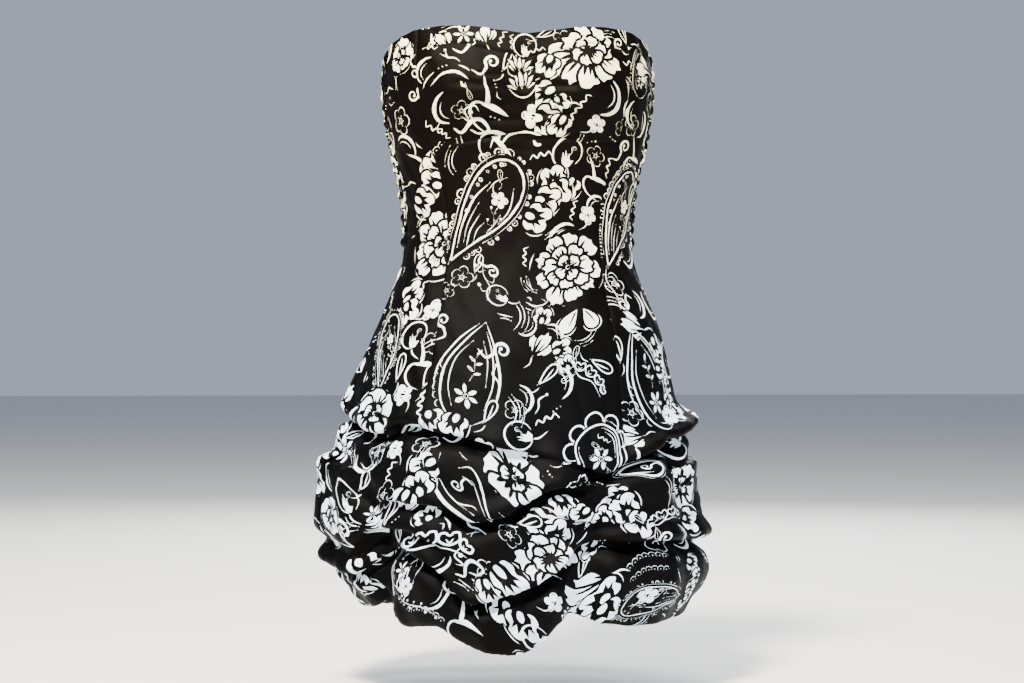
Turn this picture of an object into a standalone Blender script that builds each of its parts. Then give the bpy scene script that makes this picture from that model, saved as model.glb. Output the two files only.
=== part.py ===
"""A strapless bubble dress in printed cotton, filled out and hollow as it is when worn.

Every sewn piece is one closed wall of cloth. All of them are cut from one surface: a profile that
runs down the dress at each angle round it, from the neckline to the turned-up hem, and doubles back
on itself at three folds. The front faces -Y, and left and right are the wearer's, so left is +X.
The origin is the centre of the hollow at full-bust level.
"""

import bpy
import numpy as np


def table(columns, *rows):
    """A short table as a dictionary of named columns."""
    return dict(zip(columns.split(), np.array(rows, dtype=float).T))


# Cloth and seams, in millimetres like every size below
MM = 0.001
WALL = 1.6
SEAM_GAP = 0.3

# Step in degrees and rows for reading the cloth's slope
TINY = 0.02

# The body of the dress, ring by ring: half width, depth before and behind the side seams, and the
# princess seam's angle. Angles are in degrees from the centre front, towards the wearer's left.
RINGS = table(
    "height half_width front back princess",
    (66, 143, 98, 94, 51),
    (30, 148, 105, 99, 50),
    (0, 149, 107, 101, 49),
    (-32, 145.5, 103, 101, 47.5),
    (-64, 139.5, 99, 99, 45.5),
    (-95, 132.5, 96, 97, 42.5),
    (-126, 127.5, 95, 95, 40.5),
    (-157, 126, 96, 94, 40),
    (-190, 129.5, 100, 98, 39.5),
    (-225, 142.5, 109, 108, 37.5),
    (-262, 157.5, 121, 121, 36),
)

# How much a ring bulges at its four corners, as a share of its size
SQUARE = 0.03

# The two cups, and the dip between them where the centre seam draws the cloth in
CUP_APART = 140
CUP_HEIGHT = -6
CUP_OUT = 17
CUP_WIDE = 42
CUP_TALL = 40
CENTRE_DIP = 5
CENTRE_DIP_WIDE = 16

# The neckline, the band below it and the seam under the bust, by angle from the centre front
NECK = table(
    "angle top band_depth under_bust",
    (0, 55.5, 26, -49),
    (15, 61, 23, -56),
    (31, 65.3, 19, -62),
    (48, 64, 22, -57),
    (61, 58.5, 22, -56),
    (72, 53.5, 22, -56),
    (85, 46, 22, -56),
    (97, 41, 22, -56),
    (120, 38, 22, -56),
    (180, 38, 22, -56),
)

# The side seams, and the back panel's rows of elastic thread
SIDE_ANGLE = 82
SHIRRED_BOTTOM = -172
SHIRR_PITCH = 15
SHIRR_PUFF = 2.2

# The three folds of the skirt and its hem. edge is the height of a fold's lower edge, radius the
# half width of the dress there, tuck how far the cloth doubles back (1 is a full pocket, 0 is
# none), and below the half width midway to the next edge.
FIRST_FOLD = table(
    "angle edge radius tuck below",
    (-150, -386, 195, 0.9, 206),
    (-120, -368, 187, 1.0, 205),
    (-91, -351, 196, 1.0, 203),
    (-74, -367, 190, 0.8, 199),
    (-54, -375, 190, 0.6, 200),
    (-45, -364, 191, 1.0, 202),
    (-30, -371, 192, 1.0, 203),
    (-15, -383, 192, 0.8, 203),
    (0, -395, 192, 0.3, 201),
    (8, -400, 192, 0.0, 200),
    (17, -408, 189, 0.25, 197),
    (25, -419, 184, 0.7, 193),
    (38, -402, 190, 1.0, 197),
    (54, -386, 193, 1.0, 196),
    (73, -374, 196, 1.0, 188),
    (83, -367, 199, 1.0, 185),
    (100, -362, 196, 1.0, 190),
    (122, -378, 187, 1.0, 203),
    (150, -394, 195, 0.8, 208),
    (180, -378, 192, 0.9, 208),
)
SECOND_FOLD = table(
    "angle edge radius tuck below",
    (-150, -452, 214, 0.5, 218),
    (-120, -438, 216, 0.0, 220),
    (-91, -430, 220, 0.0, 225),
    (-60, -440, 206, 0.0, 208),
    (-45, -446, 205, 0.3, 207),
    (-28, -450, 208, 0.7, 208),
    (-17, -466, 210, 1.0, 206),
    (-9, -462, 211, 1.0, 205),
    (0, -444, 209, 1.0, 206),
    (9, -431, 206, 0.9, 206),
    (17, -429, 199, 0.6, 203),
    (28, -446, 196, 0.0, 204),
    (50, -440, 202, 0.0, 206),
    (85, -432, 196, 0.0, 203),
    (120, -440, 208, 0.0, 212),
    (150, -458, 214, 0.6, 216),
    (180, -436, 212, 0.1, 216),
)
THIRD_FOLD = table(
    "angle edge radius tuck below",
    (-150, -534, 216, 1.0, 198),
    (-120, -500, 212, 1.0, 193),
    (-91, -515, 220, 1.0, 187),
    (-64, -528, 203, 0.8, 186),
    (-55, -508, 192, 0.6, 186),
    (-46, -496, 198, 0.7, 192),
    (-30, -512, 206, 0.8, 198),
    (-17, -553, 212, 1.0, 203),
    (-9, -545, 213, 1.0, 203),
    (0, -535, 212, 1.0, 203),
    (10, -513, 208, 0.9, 200),
    (17, -492, 198, 0.6, 192),
    (27, -489, 205, 0.9, 202),
    (40, -489, 211, 1.0, 208),
    (60, -491, 212, 1.0, 211),
    (85, -491, 213, 1.0, 214),
    (100, -500, 211, 1.0, 209),
    (122, -512, 205, 0.9, 198),
    (150, -536, 214, 1.0, 204),
    (180, -516, 208, 1.0, 200),
)
HEM = table(
    "angle edge radius",
    (-150, -592, 190),
    (-120, -574, 184),
    (-91, -570, 184),
    (-66, -562, 183),
    (-59, -552, 180),
    (-52, -573, 187),
    (-45, -581, 192),
    (-32, -579, 194),
    (-20, -599, 198),
    (-12, -606, 200),
    (-4, -607, 200),
    (3, -597, 199),
    (10, -578, 194),
    (16, -566, 186),
    (24, -575, 194),
    (40, -581, 199),
    (65, -580, 200),
    (85, -576, 197),
    (110, -574, 192),
    (125, -568, 186),
    (152, -594, 193),
    (180, -580, 188),
)

# Depths of a skirt ring before and behind the side seams, as shares of its half width
SKIRT_FRONT = 0.78
SKIRT_BACK = 0.8

# The dress flares over the hip to this half width above the first fold
FLARE = table(
    "angle radius",
    (-91, 188),
    (-60, 184),
    (0, 184),
    (40, 178),
    (83, 177),
    (115, 181),
    (180, 186),
)

# How the cloth passes through a fold: how far in from the fold's radius and how far above its
# edge each row lies, in a full pocket and where the fold has faded out
POCKET = table(
    "inward rise rise_faded",
    (0, 7, 4),
    (4, 0, 1.5),
    (12, 4, -1.5),
    (19, 11, -4),
    (25, 5, -6.5),
    (21, -7, -10),
)
EDGE_INWARD = POCKET["inward"][1]

# The rows above and below a fold, closer together where the folds have less than the full room
FULL_ROOM = 60
LEAST_ROOM = 0.45
ABOVE_FOLD = 24
ABOVE_FOLD_IN = 10
BELOW_FOLD = 20
SHELF = 0.55
MIDWAY = 0.55

# The hem turns in and up to a free inner edge
HEM_TURN = table("inward rise", (5, 10), (15, 0), (27, 5), (34, 17), (37, 32))

# Lines where gathering thread draws the skirt up, from a top angle to a bottom angle
RUCHES = table(
    "top_angle bottom_angle top bottom depth half_angle",
    (-70, -48, -372, -495, 8, 6),
    (-50, -55, -500, -562, 8, 5),
    (25, 21, -420, -490, 7, 6),
    (19, 16, -495, -572, 7, 5),
    (56, 58, -386, -455, 5, 5),
    (122, 125, -378, -572, 9, 6),
    (-120, -118, -368, -576, 9, 6),
    (180, 180, -380, -580, 6, 6),
)
RUCHE_FADE = 16

# Gathers round the skirt: waves in a turn, depth and starting angle
GATHERS = table("waves depth start", (13, 2.2, 20), (19, 1.5, 65), (7, 2.0, 130))
GATHER_TOP = -318
GATHER_FADE = 60

# Rows of the profile, counted down from the top ring
HIP_ROW = len(RINGS["height"]) - 1
FLARE_ROW = HIP_ROW + 2
FOLD_ROWS = len(POCKET["rise"]) + 3
LAST_ROW = HIP_ROW + 1 + 3 * FOLD_ROWS + len(HEM_TURN["rise"])

# The skirt is sewn on at the top of the first fold's pocket. The rows between seams that the
# pieces of the front share start here.
JOIN_ROW = FLARE_ROW + 4
FIRST_SHARED_ROW = 5
BACK_SHARED_ROW = 8

# Quads across each piece
FRONT_COLUMNS = 16
SIDE_COLUMNS = 11
BACK_COLUMNS = 34
SHIRRED_COLUMNS = 26

# Quads down the neck band and the cups
BAND_ROWS = 2
CUP_ROWS = 5

# Colours of the cloth
BLACK_COTTON = (0.014, 0.012, 0.009)
BAND_COTTON = (0.018, 0.015, 0.011)
BACK_COTTON = (0.012, 0.011, 0.010)
COTTON_ROUGHNESS = 0.85


def monotone(knots, values, at):
    """Smooth curve through a table's values that never overshoots them."""
    step = np.diff(knots)
    slope = np.diff(values) / step
    before, after = slope[:-1], slope[1:]
    turning = before * after <= 0
    safe = np.where(turning, 1.0, before + after)
    inner = np.where(turning, 0.0, 2 * before * after / safe)
    tangent = np.concatenate((slope[:1], inner, slope[-1:]))
    k = np.clip(np.searchsorted(knots, at, "right") - 1, 0, len(step) - 1)
    u = np.clip((at - knots[k]) / step[k], 0, 1)
    start = (1 + 2 * u) * (1 - u) ** 2 * values[k] + u * (1 - u) ** 2 * step[k] * tangent[k]
    end = u * u * (3 - 2 * u) * values[k + 1] + u * u * (u - 1) * step[k] * tangent[k + 1]
    return start + end


def round_the_dress(columns, name, angle):
    """One column of an angle table, read at the angles given, all the way round."""
    knots = np.concatenate([columns["angle"] + turn for turn in (-360, 0, 360)])
    values = np.tile(columns[name], 3)
    return monotone(knots, values, (angle + 180) % 360 - 180)


def skirt_ring(radius, height):
    return np.stack((radius, SKIRT_FRONT * radius, SKIRT_BACK * radius, height))


def fold_rows(fold, angle, room_above, next_edge):
    """The rows of one fold, from the puff above it to midway to the next edge."""
    edge, radius, tuck, below = (
        round_the_dress(fold, name, angle) for name in ("edge", "radius", "tuck", "below")
    )
    room_below = edge - next_edge
    tight_above = np.minimum(1, room_above / FULL_ROOM)
    tight_below = np.minimum(1, room_below / FULL_ROOM)
    top = edge + ABOVE_FOLD * tight_above
    rows = [skirt_ring(radius - ABOVE_FOLD_IN * tuck * tight_above, top)]
    for inward, rise, rise_faded in zip(*POCKET.values()):
        tight = np.maximum(LEAST_ROOM, tight_above if rise_faded > 0 else tight_below)
        height = edge + rise * tuck + rise_faded * tight * (1 - tuck)
        rows.append(skirt_ring(radius - inward * tuck, height))
    shelf = radius - EDGE_INWARD * tuck + SHELF * (below - radius)
    rows.append(skirt_ring(shelf, edge - BELOW_FOLD * tight_below))
    rows.append(skirt_ring(below, edge - MIDWAY * room_below))
    return rows


def profile(angle):
    """Half width, front depth, back depth and height of every row, at the angles given."""
    rings = np.stack([RINGS[name] for name in ("half_width", "front", "back", "height")], axis=1)
    rows = [np.repeat(ring[:, None], angle.size, axis=1) for ring in rings]
    edges = [
        round_the_dress(columns, "edge", angle)
        for columns in (FIRST_FOLD, SECOND_FOLD, THIRD_FOLD, HEM)
    ]
    flare = skirt_ring(round_the_dress(FLARE, "radius", angle), edges[0] + ABOVE_FOLD)
    rows.append(0.5 * (rows[-1] + flare))
    room_above = np.full_like(angle, FULL_ROOM)
    for fold, edge, next_edge in zip((FIRST_FOLD, SECOND_FOLD, THIRD_FOLD), edges, edges[1:]):
        rows += fold_rows(fold, angle, room_above, next_edge)
        room_above = edge - next_edge
    rows[FLARE_ROW] = flare
    hem_radius = round_the_dress(HEM, "radius", angle)
    for inward, rise in zip(*HEM_TURN.values()):
        rows.append(skirt_ring(hem_radius - inward, edges[-1] + rise))
    return np.stack(rows)


def gathered(angle, height):
    """How far the gathers and the drawn-up lines move the skirt in or out."""
    spread = np.clip((GATHER_TOP - height) / GATHER_FADE, 0, 1)
    out = np.zeros_like(height)
    for waves, depth, start in zip(*GATHERS.values()):
        out += depth * np.cos(np.radians(waves * (angle - start)))
    for top_angle, bottom_angle, top, bottom, depth, half_angle in zip(*RUCHES.values()):
        along = np.clip((top - height) / (top - bottom), 0, 1)
        middle = top_angle + (bottom_angle - top_angle) * along
        away = (angle - middle + 180) % 360 - 180
        ends = np.clip((top + RUCHE_FADE - height) / RUCHE_FADE, 0, 1)
        ends *= np.clip((height - bottom + RUCHE_FADE) / RUCHE_FADE, 0, 1)
        out -= depth * ends * np.exp(-((away / half_angle) ** 2))
    return out * spread


def cups(x, height):
    """How far the cups stand forward of the plain ring."""
    across = (np.abs(x) - CUP_APART / 2) / CUP_WIDE
    along = (height - CUP_HEIGHT) / CUP_TALL
    dip = np.exp(-((x / CENTRE_DIP_WIDE) ** 2) - along**2)
    return CUP_OUT * np.exp(-(across**2) - along**2) - CENTRE_DIP * dip


def surface(angle, row):
    """The middle of the cloth, in millimetres, at an angle and a row of the profile."""
    controls = profile(angle)
    index = np.arange(angle.size)
    k = np.clip(np.floor(row).astype(int), 0, LAST_ROW - 1)
    u = row - k
    last = controls.shape[0] - 1
    before = controls[np.clip(k - 1, 0, last), :, index]
    start = controls[k, :, index]
    end = controls[np.clip(k + 1, 0, last), :, index]
    after = controls[np.clip(k + 2, 0, last), :, index]
    u = u[:, None]
    curve = 0.5 * (
        2 * start
        + (end - before) * u
        + (2 * before - 5 * start + 4 * end - after) * u**2
        + (3 * start - before - 3 * end + after) * u**3
    )
    half_width, front, back, height = curve.T
    turn = np.radians(angle)
    square = 1 + SQUARE * (1 - np.cos(4 * turn)) / 2
    out = gathered(angle, height)
    depth = np.where(np.cos(turn) > 0, front, back)
    x = (half_width * square + out) * np.sin(turn)
    y = -(depth * square + out) * np.cos(turn)
    y -= np.where(np.cos(turn) > 0, cups(x, height), 0)
    return np.stack((x, y, height), axis=1)


def row_at(height):
    """The profile row at a height above the hip, where every angle has the same rings."""
    rows = np.linspace(0, HIP_ROW - 1, 400)
    heights = surface(np.zeros_like(rows), rows)[:, 2]
    return np.interp(-height, -heights, rows)


def neckline(name, angle):
    return monotone(NECK["angle"], NECK[name], np.abs((angle + 180) % 360 - 180))


def top_row(angle):
    return row_at(neckline("top", angle))


def band_row(angle):
    return row_at(neckline("top", angle) - neckline("band_depth", angle))


def under_bust_row(angle):
    return row_at(neckline("under_bust", angle))


def princess_angle(row):
    rows = np.arange(HIP_ROW + 1.0)
    return monotone(rows, RINGS["princess"], np.clip(row, 0, HIP_ROW))


def steps(start, end, count):
    """Fractions that lead from one row function to another in equal steps."""
    return [(start, end, k / count) for k in range(count + 1)]


def level(row):
    """A row of its own, the same all round."""

    def same(angle):
        return np.full_like(angle, row, dtype=float)

    return (same, same, 0.0)


def on_grid(angle, row):
    return surface(angle.ravel(), row.ravel()).reshape(*angle.shape, 3)


def wall(name, rows, angles, colour, free_top=False, free_bottom=False, puff=0.0):
    """Make one piece of cloth: a closed wall with its seam edges set back by half the gap.

    rows is a list of (start, end, fraction), and angles a function that gives the left to right
    angles of a row. puff raises every second row on the outside only.
    """
    grid_angle, grid_row = [], []
    for start, end, fraction in rows:
        row = start(np.zeros(1)) * (1 - fraction) + end(np.zeros(1)) * fraction
        angle = angles(np.full(1, row[0]))
        for _ in range(3):
            line = start(angle) * (1 - fraction) + end(angle) * fraction
            angle = angles(line)
        grid_angle.append(angle)
        grid_row.append(start(angle) * (1 - fraction) + end(angle) * fraction)
    angle, row = np.array(grid_angle), np.array(grid_row)
    middle = on_grid(angle, row)
    across = on_grid(angle + TINY, row) - on_grid(angle - TINY, row)
    down = on_grid(angle, row + TINY) - on_grid(angle, row - TINY)
    normal = np.cross(down, across)
    across /= np.linalg.norm(across, axis=2, keepdims=True)
    down /= np.linalg.norm(down, axis=2, keepdims=True)
    level_across = across * (1, 1, 0)
    level_across /= np.linalg.norm(level_across, axis=2, keepdims=True)
    for seam, inwards in ((0, 1), (-1, -1)):
        side = level_across[:, seam]
        lean = (normal[:, seam] * side).sum(axis=1, keepdims=True)
        normal[:, seam] -= lean * side
        middle[:, seam] += side * inwards * SEAM_GAP / 2
    if not free_top:
        middle[0] += down[0] * SEAM_GAP / 2
    if not free_bottom:
        middle[-1] -= down[-1] * SEAM_GAP / 2
    normal /= np.linalg.norm(normal, axis=2, keepdims=True)
    raised = np.full(angle.shape[0], WALL / 2)
    raised[1:-1:2] += puff
    outer = middle + normal * raised[:, None, None]
    inner = middle - normal * WALL / 2
    build_wall(name, outer, inner, colour)


def build_wall(name, outer, inner, colour):
    """Join an outer and an inner grid of points into one closed mesh of triangles.

    Both grids are split along the same diagonals, and every rim from the outer point that comes
    first to the inner point that comes second, so that neighbours meet along like faces.
    """
    tall, wide = outer.shape[:2]
    points = np.concatenate((outer.reshape(-1, 3), inner.reshape(-1, 3))) * MM
    number = np.arange(2 * tall * wide).reshape(2, tall, wide)
    rising = np.linalg.norm(outer[1:, :-1] - outer[:-1, 1:], axis=2)
    falling = np.linalg.norm(outer[:-1, :-1] - outer[1:, 1:], axis=2)
    faces = []
    for r in range(tall - 1):
        for c in range(wide - 1):
            corners = ((r, c), (r + 1, c), (r + 1, c + 1), (r, c + 1))
            if rising[r, c] < falling[r, c]:
                corners = corners[1:] + corners[:1]
            for trio in ((0, 1, 2), (0, 2, 3)):
                faces.append([number[0][corners[k]] for k in trio])
                faces.append([number[1][corners[k]] for k in reversed(trio)])
    faces += rim(number[:, :, 0], False)
    faces += rim(number[:, :, -1], True)
    faces += rim(number[:, 0, :], True)
    faces += rim(number[:, -1, :], False)
    mesh = bpy.data.meshes.new(name)
    mesh.from_pydata(points.tolist(), [], faces)
    mesh.shade_smooth()
    mesh.materials.append(cotton(name, colour))
    piece = bpy.data.objects.new(name, mesh)
    bpy.context.scene.collection.objects.link(piece)


def rim(edge, turned):
    """Triangles that close the wall along one edge."""
    outside, inside = edge
    faces = []
    for k in range(len(outside) - 1):
        pair = [
            [outside[k], inside[k + 1], outside[k + 1]],
            [outside[k], inside[k], inside[k + 1]],
        ]
        faces += [face[::-1] for face in pair] if turned else pair
    return faces


def cotton(name, colour):
    material = bpy.data.materials.new(name + "_cotton")
    material.use_nodes = True
    shader = material.node_tree.nodes["Principled BSDF"]
    shader.inputs["Base Color"].default_value = (*colour, 1)
    shader.inputs["Roughness"].default_value = COTTON_ROUGHNESS
    shader.inputs["Metallic"].default_value = 0.0
    return material


def even(first, last, count):
    """Angles of every column between two fixed side seams."""

    def angles(row):
        return np.linspace(first, last, count + 1)

    return angles


def between_seams(left, right, count):
    """Angles of every column between two seams that wander with the row."""

    def angles(row):
        fractions = np.linspace(0, 1, count + 1)
        return left(row) + (right(row) - left(row)) * fractions

    return angles


def right_princess(row):
    return -princess_angle(row)


def left_princess(row):
    return princess_angle(row)


def centre(row):
    return np.zeros_like(row)


def right_side(row):
    return np.full_like(row, -SIDE_ANGLE)


def left_side(row):
    return np.full_like(row, SIDE_ANGLE)


def bodice_front():
    """The neck band, two gathered cups and the centre panel under them."""
    band = steps(top_row, band_row, BAND_ROWS)
    across = between_seams(right_princess, left_princess, FRONT_COLUMNS)
    wall("neck_band", band, across, BAND_COTTON, free_top=True)
    cup = steps(band_row, under_bust_row, CUP_ROWS)
    half = FRONT_COLUMNS // 2
    wall("cup_right", cup, between_seams(right_princess, centre, half), BLACK_COTTON)
    wall("cup_left", cup, between_seams(centre, left_princess, half), BLACK_COTTON)
    panel = [(under_bust_row, under_bust_row, 0.0)]
    panel += [level(row) for row in range(FIRST_SHARED_ROW, JOIN_ROW + 1)]
    wall("front_panel", panel, across, BLACK_COTTON)


def bodice_sides():
    """The panels between the princess seams and the side seams, from neckline to first fold."""
    rows = steps(top_row, band_row, BAND_ROWS)[:-1]
    rows += steps(band_row, under_bust_row, CUP_ROWS)
    rows += [level(row) for row in range(FIRST_SHARED_ROW, JOIN_ROW + 1)]
    right = between_seams(right_side, right_princess, SIDE_COLUMNS)
    left = between_seams(left_princess, left_side, SIDE_COLUMNS)
    wall("side_panel_right", rows, right, BLACK_COTTON, free_top=True)
    wall("side_panel_left", rows, left, BLACK_COTTON, free_top=True)


def bodice_back():
    """The shirred panel over the back, and the plain panel below it."""
    bottom = float(row_at(np.array(SHIRRED_BOTTOM)))
    tall = NECK["top"][-1] - SHIRRED_BOTTOM
    shirrs = round(tall / SHIRR_PITCH)
    rows = steps(top_row, level(bottom)[0], 2 * shirrs)
    last = 360 - SIDE_ANGLE
    shirred = even(SIDE_ANGLE, last, SHIRRED_COLUMNS)
    wall("back_shirred_panel", rows, shirred, BACK_COTTON, free_top=True, puff=SHIRR_PUFF)
    below = [level(bottom)] + [level(row) for row in range(BACK_SHARED_ROW, JOIN_ROW + 1)]
    wall("back_panel", below, even(SIDE_ANGLE, last, BACK_COLUMNS), BACK_COTTON)


def skirt():
    """The puffed skirt, front and back, from the seam inside the first fold to the hem."""
    rows = [level(row) for row in range(JOIN_ROW, LAST_ROW + 1)]
    seam = float(princess_angle(np.array(float(HIP_ROW))))
    front = np.concatenate(
        (
            np.linspace(-SIDE_ANGLE, -seam, SIDE_COLUMNS + 1),
            np.linspace(-seam, seam, FRONT_COLUMNS + 1)[1:-1],
            np.linspace(seam, SIDE_ANGLE, SIDE_COLUMNS + 1),
        )
    )

    def front_angles(row):
        return front.copy()

    wall("skirt_front", rows, front_angles, BLACK_COTTON, free_bottom=True)
    back = even(SIDE_ANGLE, 360 - SIDE_ANGLE, BACK_COLUMNS)
    wall("skirt_back", rows, back, BACK_COTTON, free_bottom=True)


def main():
    for old in list(bpy.data.objects):
        bpy.data.objects.remove(old)
    bodice_front()
    bodice_sides()
    bodice_back()
    skirt()


main()
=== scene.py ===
"""A strapless bubble dress in printed cotton, filled out and hollow as it is when worn.

The sections follow the making: the printed cloth, the shape it is sewn to, then each piece of the
bodice and the skirt, the stitching, and the room it hangs in. Sizes are in millimetres until a
piece is made, angles in degrees from the centre front towards the wearer's left, which is +X.
"""

import bmesh
import bpy
import numpy as np
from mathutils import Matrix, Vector
from mathutils.geometry import delaunay_2d_cdt


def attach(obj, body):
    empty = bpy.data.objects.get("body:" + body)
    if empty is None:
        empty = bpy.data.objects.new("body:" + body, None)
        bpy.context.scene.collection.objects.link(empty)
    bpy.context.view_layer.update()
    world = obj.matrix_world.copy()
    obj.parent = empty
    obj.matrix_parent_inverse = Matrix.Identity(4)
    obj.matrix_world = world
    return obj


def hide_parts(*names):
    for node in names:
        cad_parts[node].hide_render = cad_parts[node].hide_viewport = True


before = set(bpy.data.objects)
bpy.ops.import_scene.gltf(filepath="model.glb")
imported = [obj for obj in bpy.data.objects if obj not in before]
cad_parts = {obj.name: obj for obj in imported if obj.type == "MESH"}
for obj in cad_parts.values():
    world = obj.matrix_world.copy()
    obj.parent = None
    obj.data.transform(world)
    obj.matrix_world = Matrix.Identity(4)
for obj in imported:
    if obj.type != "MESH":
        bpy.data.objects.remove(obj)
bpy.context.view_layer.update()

# The print
# The cloth is a light plain-weave cotton, dyed black round a white print of open flowers, paisleys,
# leaves and loose brush strokes. It is drawn as outlines in layers of ink, in millimetres on the
# cloth, each point a complex number: across, and up towards the neckline.
WHITE, BLACK = 1, 0
hand = np.random.default_rng(11)


def polar(radius, degrees):
    return radius * np.exp(1j * np.radians(degrees))


def smooth(points, closed=False, spans=4):
    """A soft curve through a few points."""
    p = np.array(points, dtype=complex)
    if closed:
        p = np.concatenate((p[-1:], p, p[:2]))
    else:
        p = np.concatenate((2 * p[:1] - p[1:2], p, 2 * p[-1:] - p[-2:-1]))
    u = np.arange(spans) / spans
    stretches = [
        0.5 * (2 * b + (c - a) * u + (2 * a - 5 * b + 4 * c - d) * u**2 + (3 * b - a - 3 * c + d) * u**3)
        for a, b, c, d in zip(p, p[1:], p[2:], p[3:])
    ]
    line = np.concatenate(stretches)
    return line if closed else np.append(line, p[-2])


def grown(outline, by):
    """An outline moved outwards, or inwards where by is negative."""
    ahead, behind = np.roll(outline, -1), np.roll(outline, 1)
    along = ahead - behind
    side = -1j * along / np.maximum(np.abs(along), 1e-9)
    return outline + side * by * np.sign((outline.conj() * ahead).imag.sum())


def stroke(points, width, widest=0.5, tip=0.25, spans=4):
    """One pull of a brush: wide at a share of its length, thin at both ends."""
    line = smooth(points, spans=spans)
    length = np.concatenate(([0], np.cumsum(np.abs(np.diff(line)))))
    along = length / length[-1]
    swell = np.where(along < widest, along / widest, (1 - along) / (1 - widest))
    half = width / 2 * (tip + (1 - tip) * np.sqrt(np.clip(swell, 0, 1)))
    half = half * (1 + hand.uniform(-0.1, 0.1, half.size))
    side = np.gradient(line)
    side = 1j * side / np.maximum(np.abs(side), 1e-9)
    return np.concatenate((line + half * side, (line - half * side)[::-1]))


def disc(centre, radius, count=10):
    return centre + polar(radius, np.arange(count) * 360 / count)


def arc(centre, radius, start, end, width, widest=0.5, tip=0.25):
    """A curved stroke round a centre."""
    count = max(4, int(abs(end - start) / 30) + 1)
    return stroke(centre + polar(radius, np.linspace(start, end, count)), width, widest, tip)


def petal(long, wide):
    """A petal along +x from its base at 0, its edge in uneven lobes."""
    left = (0, 0.26 + 0.2j, 0.58 + 0.47j, 0.84 + 0.44j, 0.9 + 0.2j)
    right = (1 + 0.06j, 0.93 - 0.14j, 0.9 - 0.38j, 0.6 - 0.5j, 0.28 - 0.22j)
    shape = np.array(left + right)
    shape = shape.real * long + 1j * shape.imag * wide
    return smooth(shape * hand.uniform(0.93, 1.06, shape.size), closed=True, spans=3)


def veins(long, wide, count=3):
    """Torn black strokes that run up a petal from its base."""
    ink = []
    for k in np.linspace(-1, 1, count) + hand.uniform(-0.2, 0.2, count):
        reach = hand.uniform(0.45, 0.8) * long
        line = (0.05j * k * wide, 0.5 * reach + 0.17j * k * wide, reach + 0.26j * k * wide)
        ink.append(stroke(line, hand.uniform(0.14, 0.24) * wide, 0.25, 0.04, 3))
    return ink


def petals(count, out, long, wide, start=0.0, sweep=360.0):
    """A ring of petals, each over the last, with black between them."""
    ink = []
    for k in range(count):
        turn = polar(1, start + sweep * k / count + hand.uniform(-5, 5))
        size = hand.uniform(0.86, 1.12)
        shape = out + petal(long * size, wide * size)
        ink += [(BLACK, turn * grown(shape, 3.6)), (WHITE, turn * shape)]
        ink += [(BLACK, turn * (out + vein)) for vein in veins(long * size, wide * size, 2 + k % 2)]
    return ink


def heart(radius):
    """The ring and the dots in the middle of a flower."""
    ink = [(BLACK, disc(0, radius)), (WHITE, disc(0, 0.74 * radius))]
    ink += [(BLACK, disc(0.1 * radius, 0.45 * radius))]
    return ink + [(WHITE, disc(polar(0.24 * radius, 120 * k), 0.15 * radius, 6)) for k in range(3)]


def peony():
    """A full open flower, 120 mm across."""
    loose = ((63, 96, 30, 2.8), (68, 104, 18, 1.8), (62, 150, 26, 3), (64, 188, 22, 2.4))
    loose += ((62, 226, 38, 3), (63, 326, 24, 2.2))
    ink = [(WHITE, arc(0, out, start, start + sweep, width)) for out, start, sweep, width in loose]
    for count, out, long, wide in ((9, 20, 39, 31), (7, 8, 31, 26), (4, 1, 20, 19)):
        ink += petals(count, out, long, wide, 9 * count)
    ink += [(BLACK, stroke((-10 + 6j, -3 + 9j, 5 + 5j, 11 + 8j), 2.6))]
    ink += [(BLACK, stroke((-4 - 9j, 3 - 5j, 9 - 8j), 2.4))]
    return ink + heart(5.5)


def pansy():
    """A flat flower of a few wide petals with loose outlines, 76 mm across."""
    loose = ((14, 50, 2.6), (100, 66, 3), (200, 40, 2), (270, 56, 3))
    ink = [(WHITE, arc(0, 41, start, start + sweep, width)) for start, sweep, width in loose]
    ink += petals(5, 4, 34, 40, 20)
    ink += [(BLACK, arc(0, 14, a, a + 40, 2)) for a in (30, 100, 185, 260, 320)]
    ink += petals(3, 1, 16, 17, 50)
    return ink + heart(4.5)


def fan_flower():
    """A large flower seen from its side, its petals fanned out below."""
    ink = petals(6, 8, 50, 32, 180, 186)
    ink += petals(5, 4, 34, 30, 8, 176)
    ink += petals(6, 0, 25, 22, 20)
    ink += [(BLACK, stroke((-17 + 3j, -7 + 8j, 4 + 3j, 15 + 9j), 3))]
    ink += [(BLACK, stroke((-10 - 5j, 0, 11 - 4j), 2.6))]
    return ink + [(BLACK, disc(at, 1.5, 6)) for at in (-6 - 5j, -4j, 7 - 6j, 3 + 8j)]


def blossom():
    """A half-open blossom, 28 mm across: white lobes round a torn black mouth."""
    bowl = (-5 + 12j, -11 + 10j, -14 + 4j, -11 - 1j, -13 - 6j, -8 - 12j, -2 - 12j, 1 - 9j)
    bowl = smooth((*bowl, 6 - 13j, 12 - 10j, 13 - 4j, 11, 14 + 5j, 11 + 11j, 5 + 12j), closed=True, spans=3)
    mouth = (-6 + 14j, -8 + 7j, -7 + 2j, -10 - 4j, -5, -5 - 8j, -1 - 2j)
    mouth = np.array((*mouth, 3 - 9j, 4 - 1j, 9 - 5j, 7 + 2j, 8 + 8j, 4 + 14j))
    mouth = mouth * hand.uniform(0.9, 1.1, mouth.size)
    tongue = smooth((-3 + 12j, -4 + 6j, 0 + 2j, 3 + 6j, 2 + 12j), closed=True, spans=3)
    ink = [(BLACK, grown(bowl, 1.8)), (WHITE, bowl), (BLACK, mouth), (WHITE, tongue)]
    starts = (hand.uniform(150, 200), hand.uniform(290, 330))
    return ink + [(WHITE, arc(0, 17, start, start + 60, 2)) for start in starts]


def placed(ink, at, size=1.0, turn=0.0):
    """A drawing moved, sized and turned on the cloth."""
    return [(colour, at + size * polar(1, turn) * line) for colour, line in ink]


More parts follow.
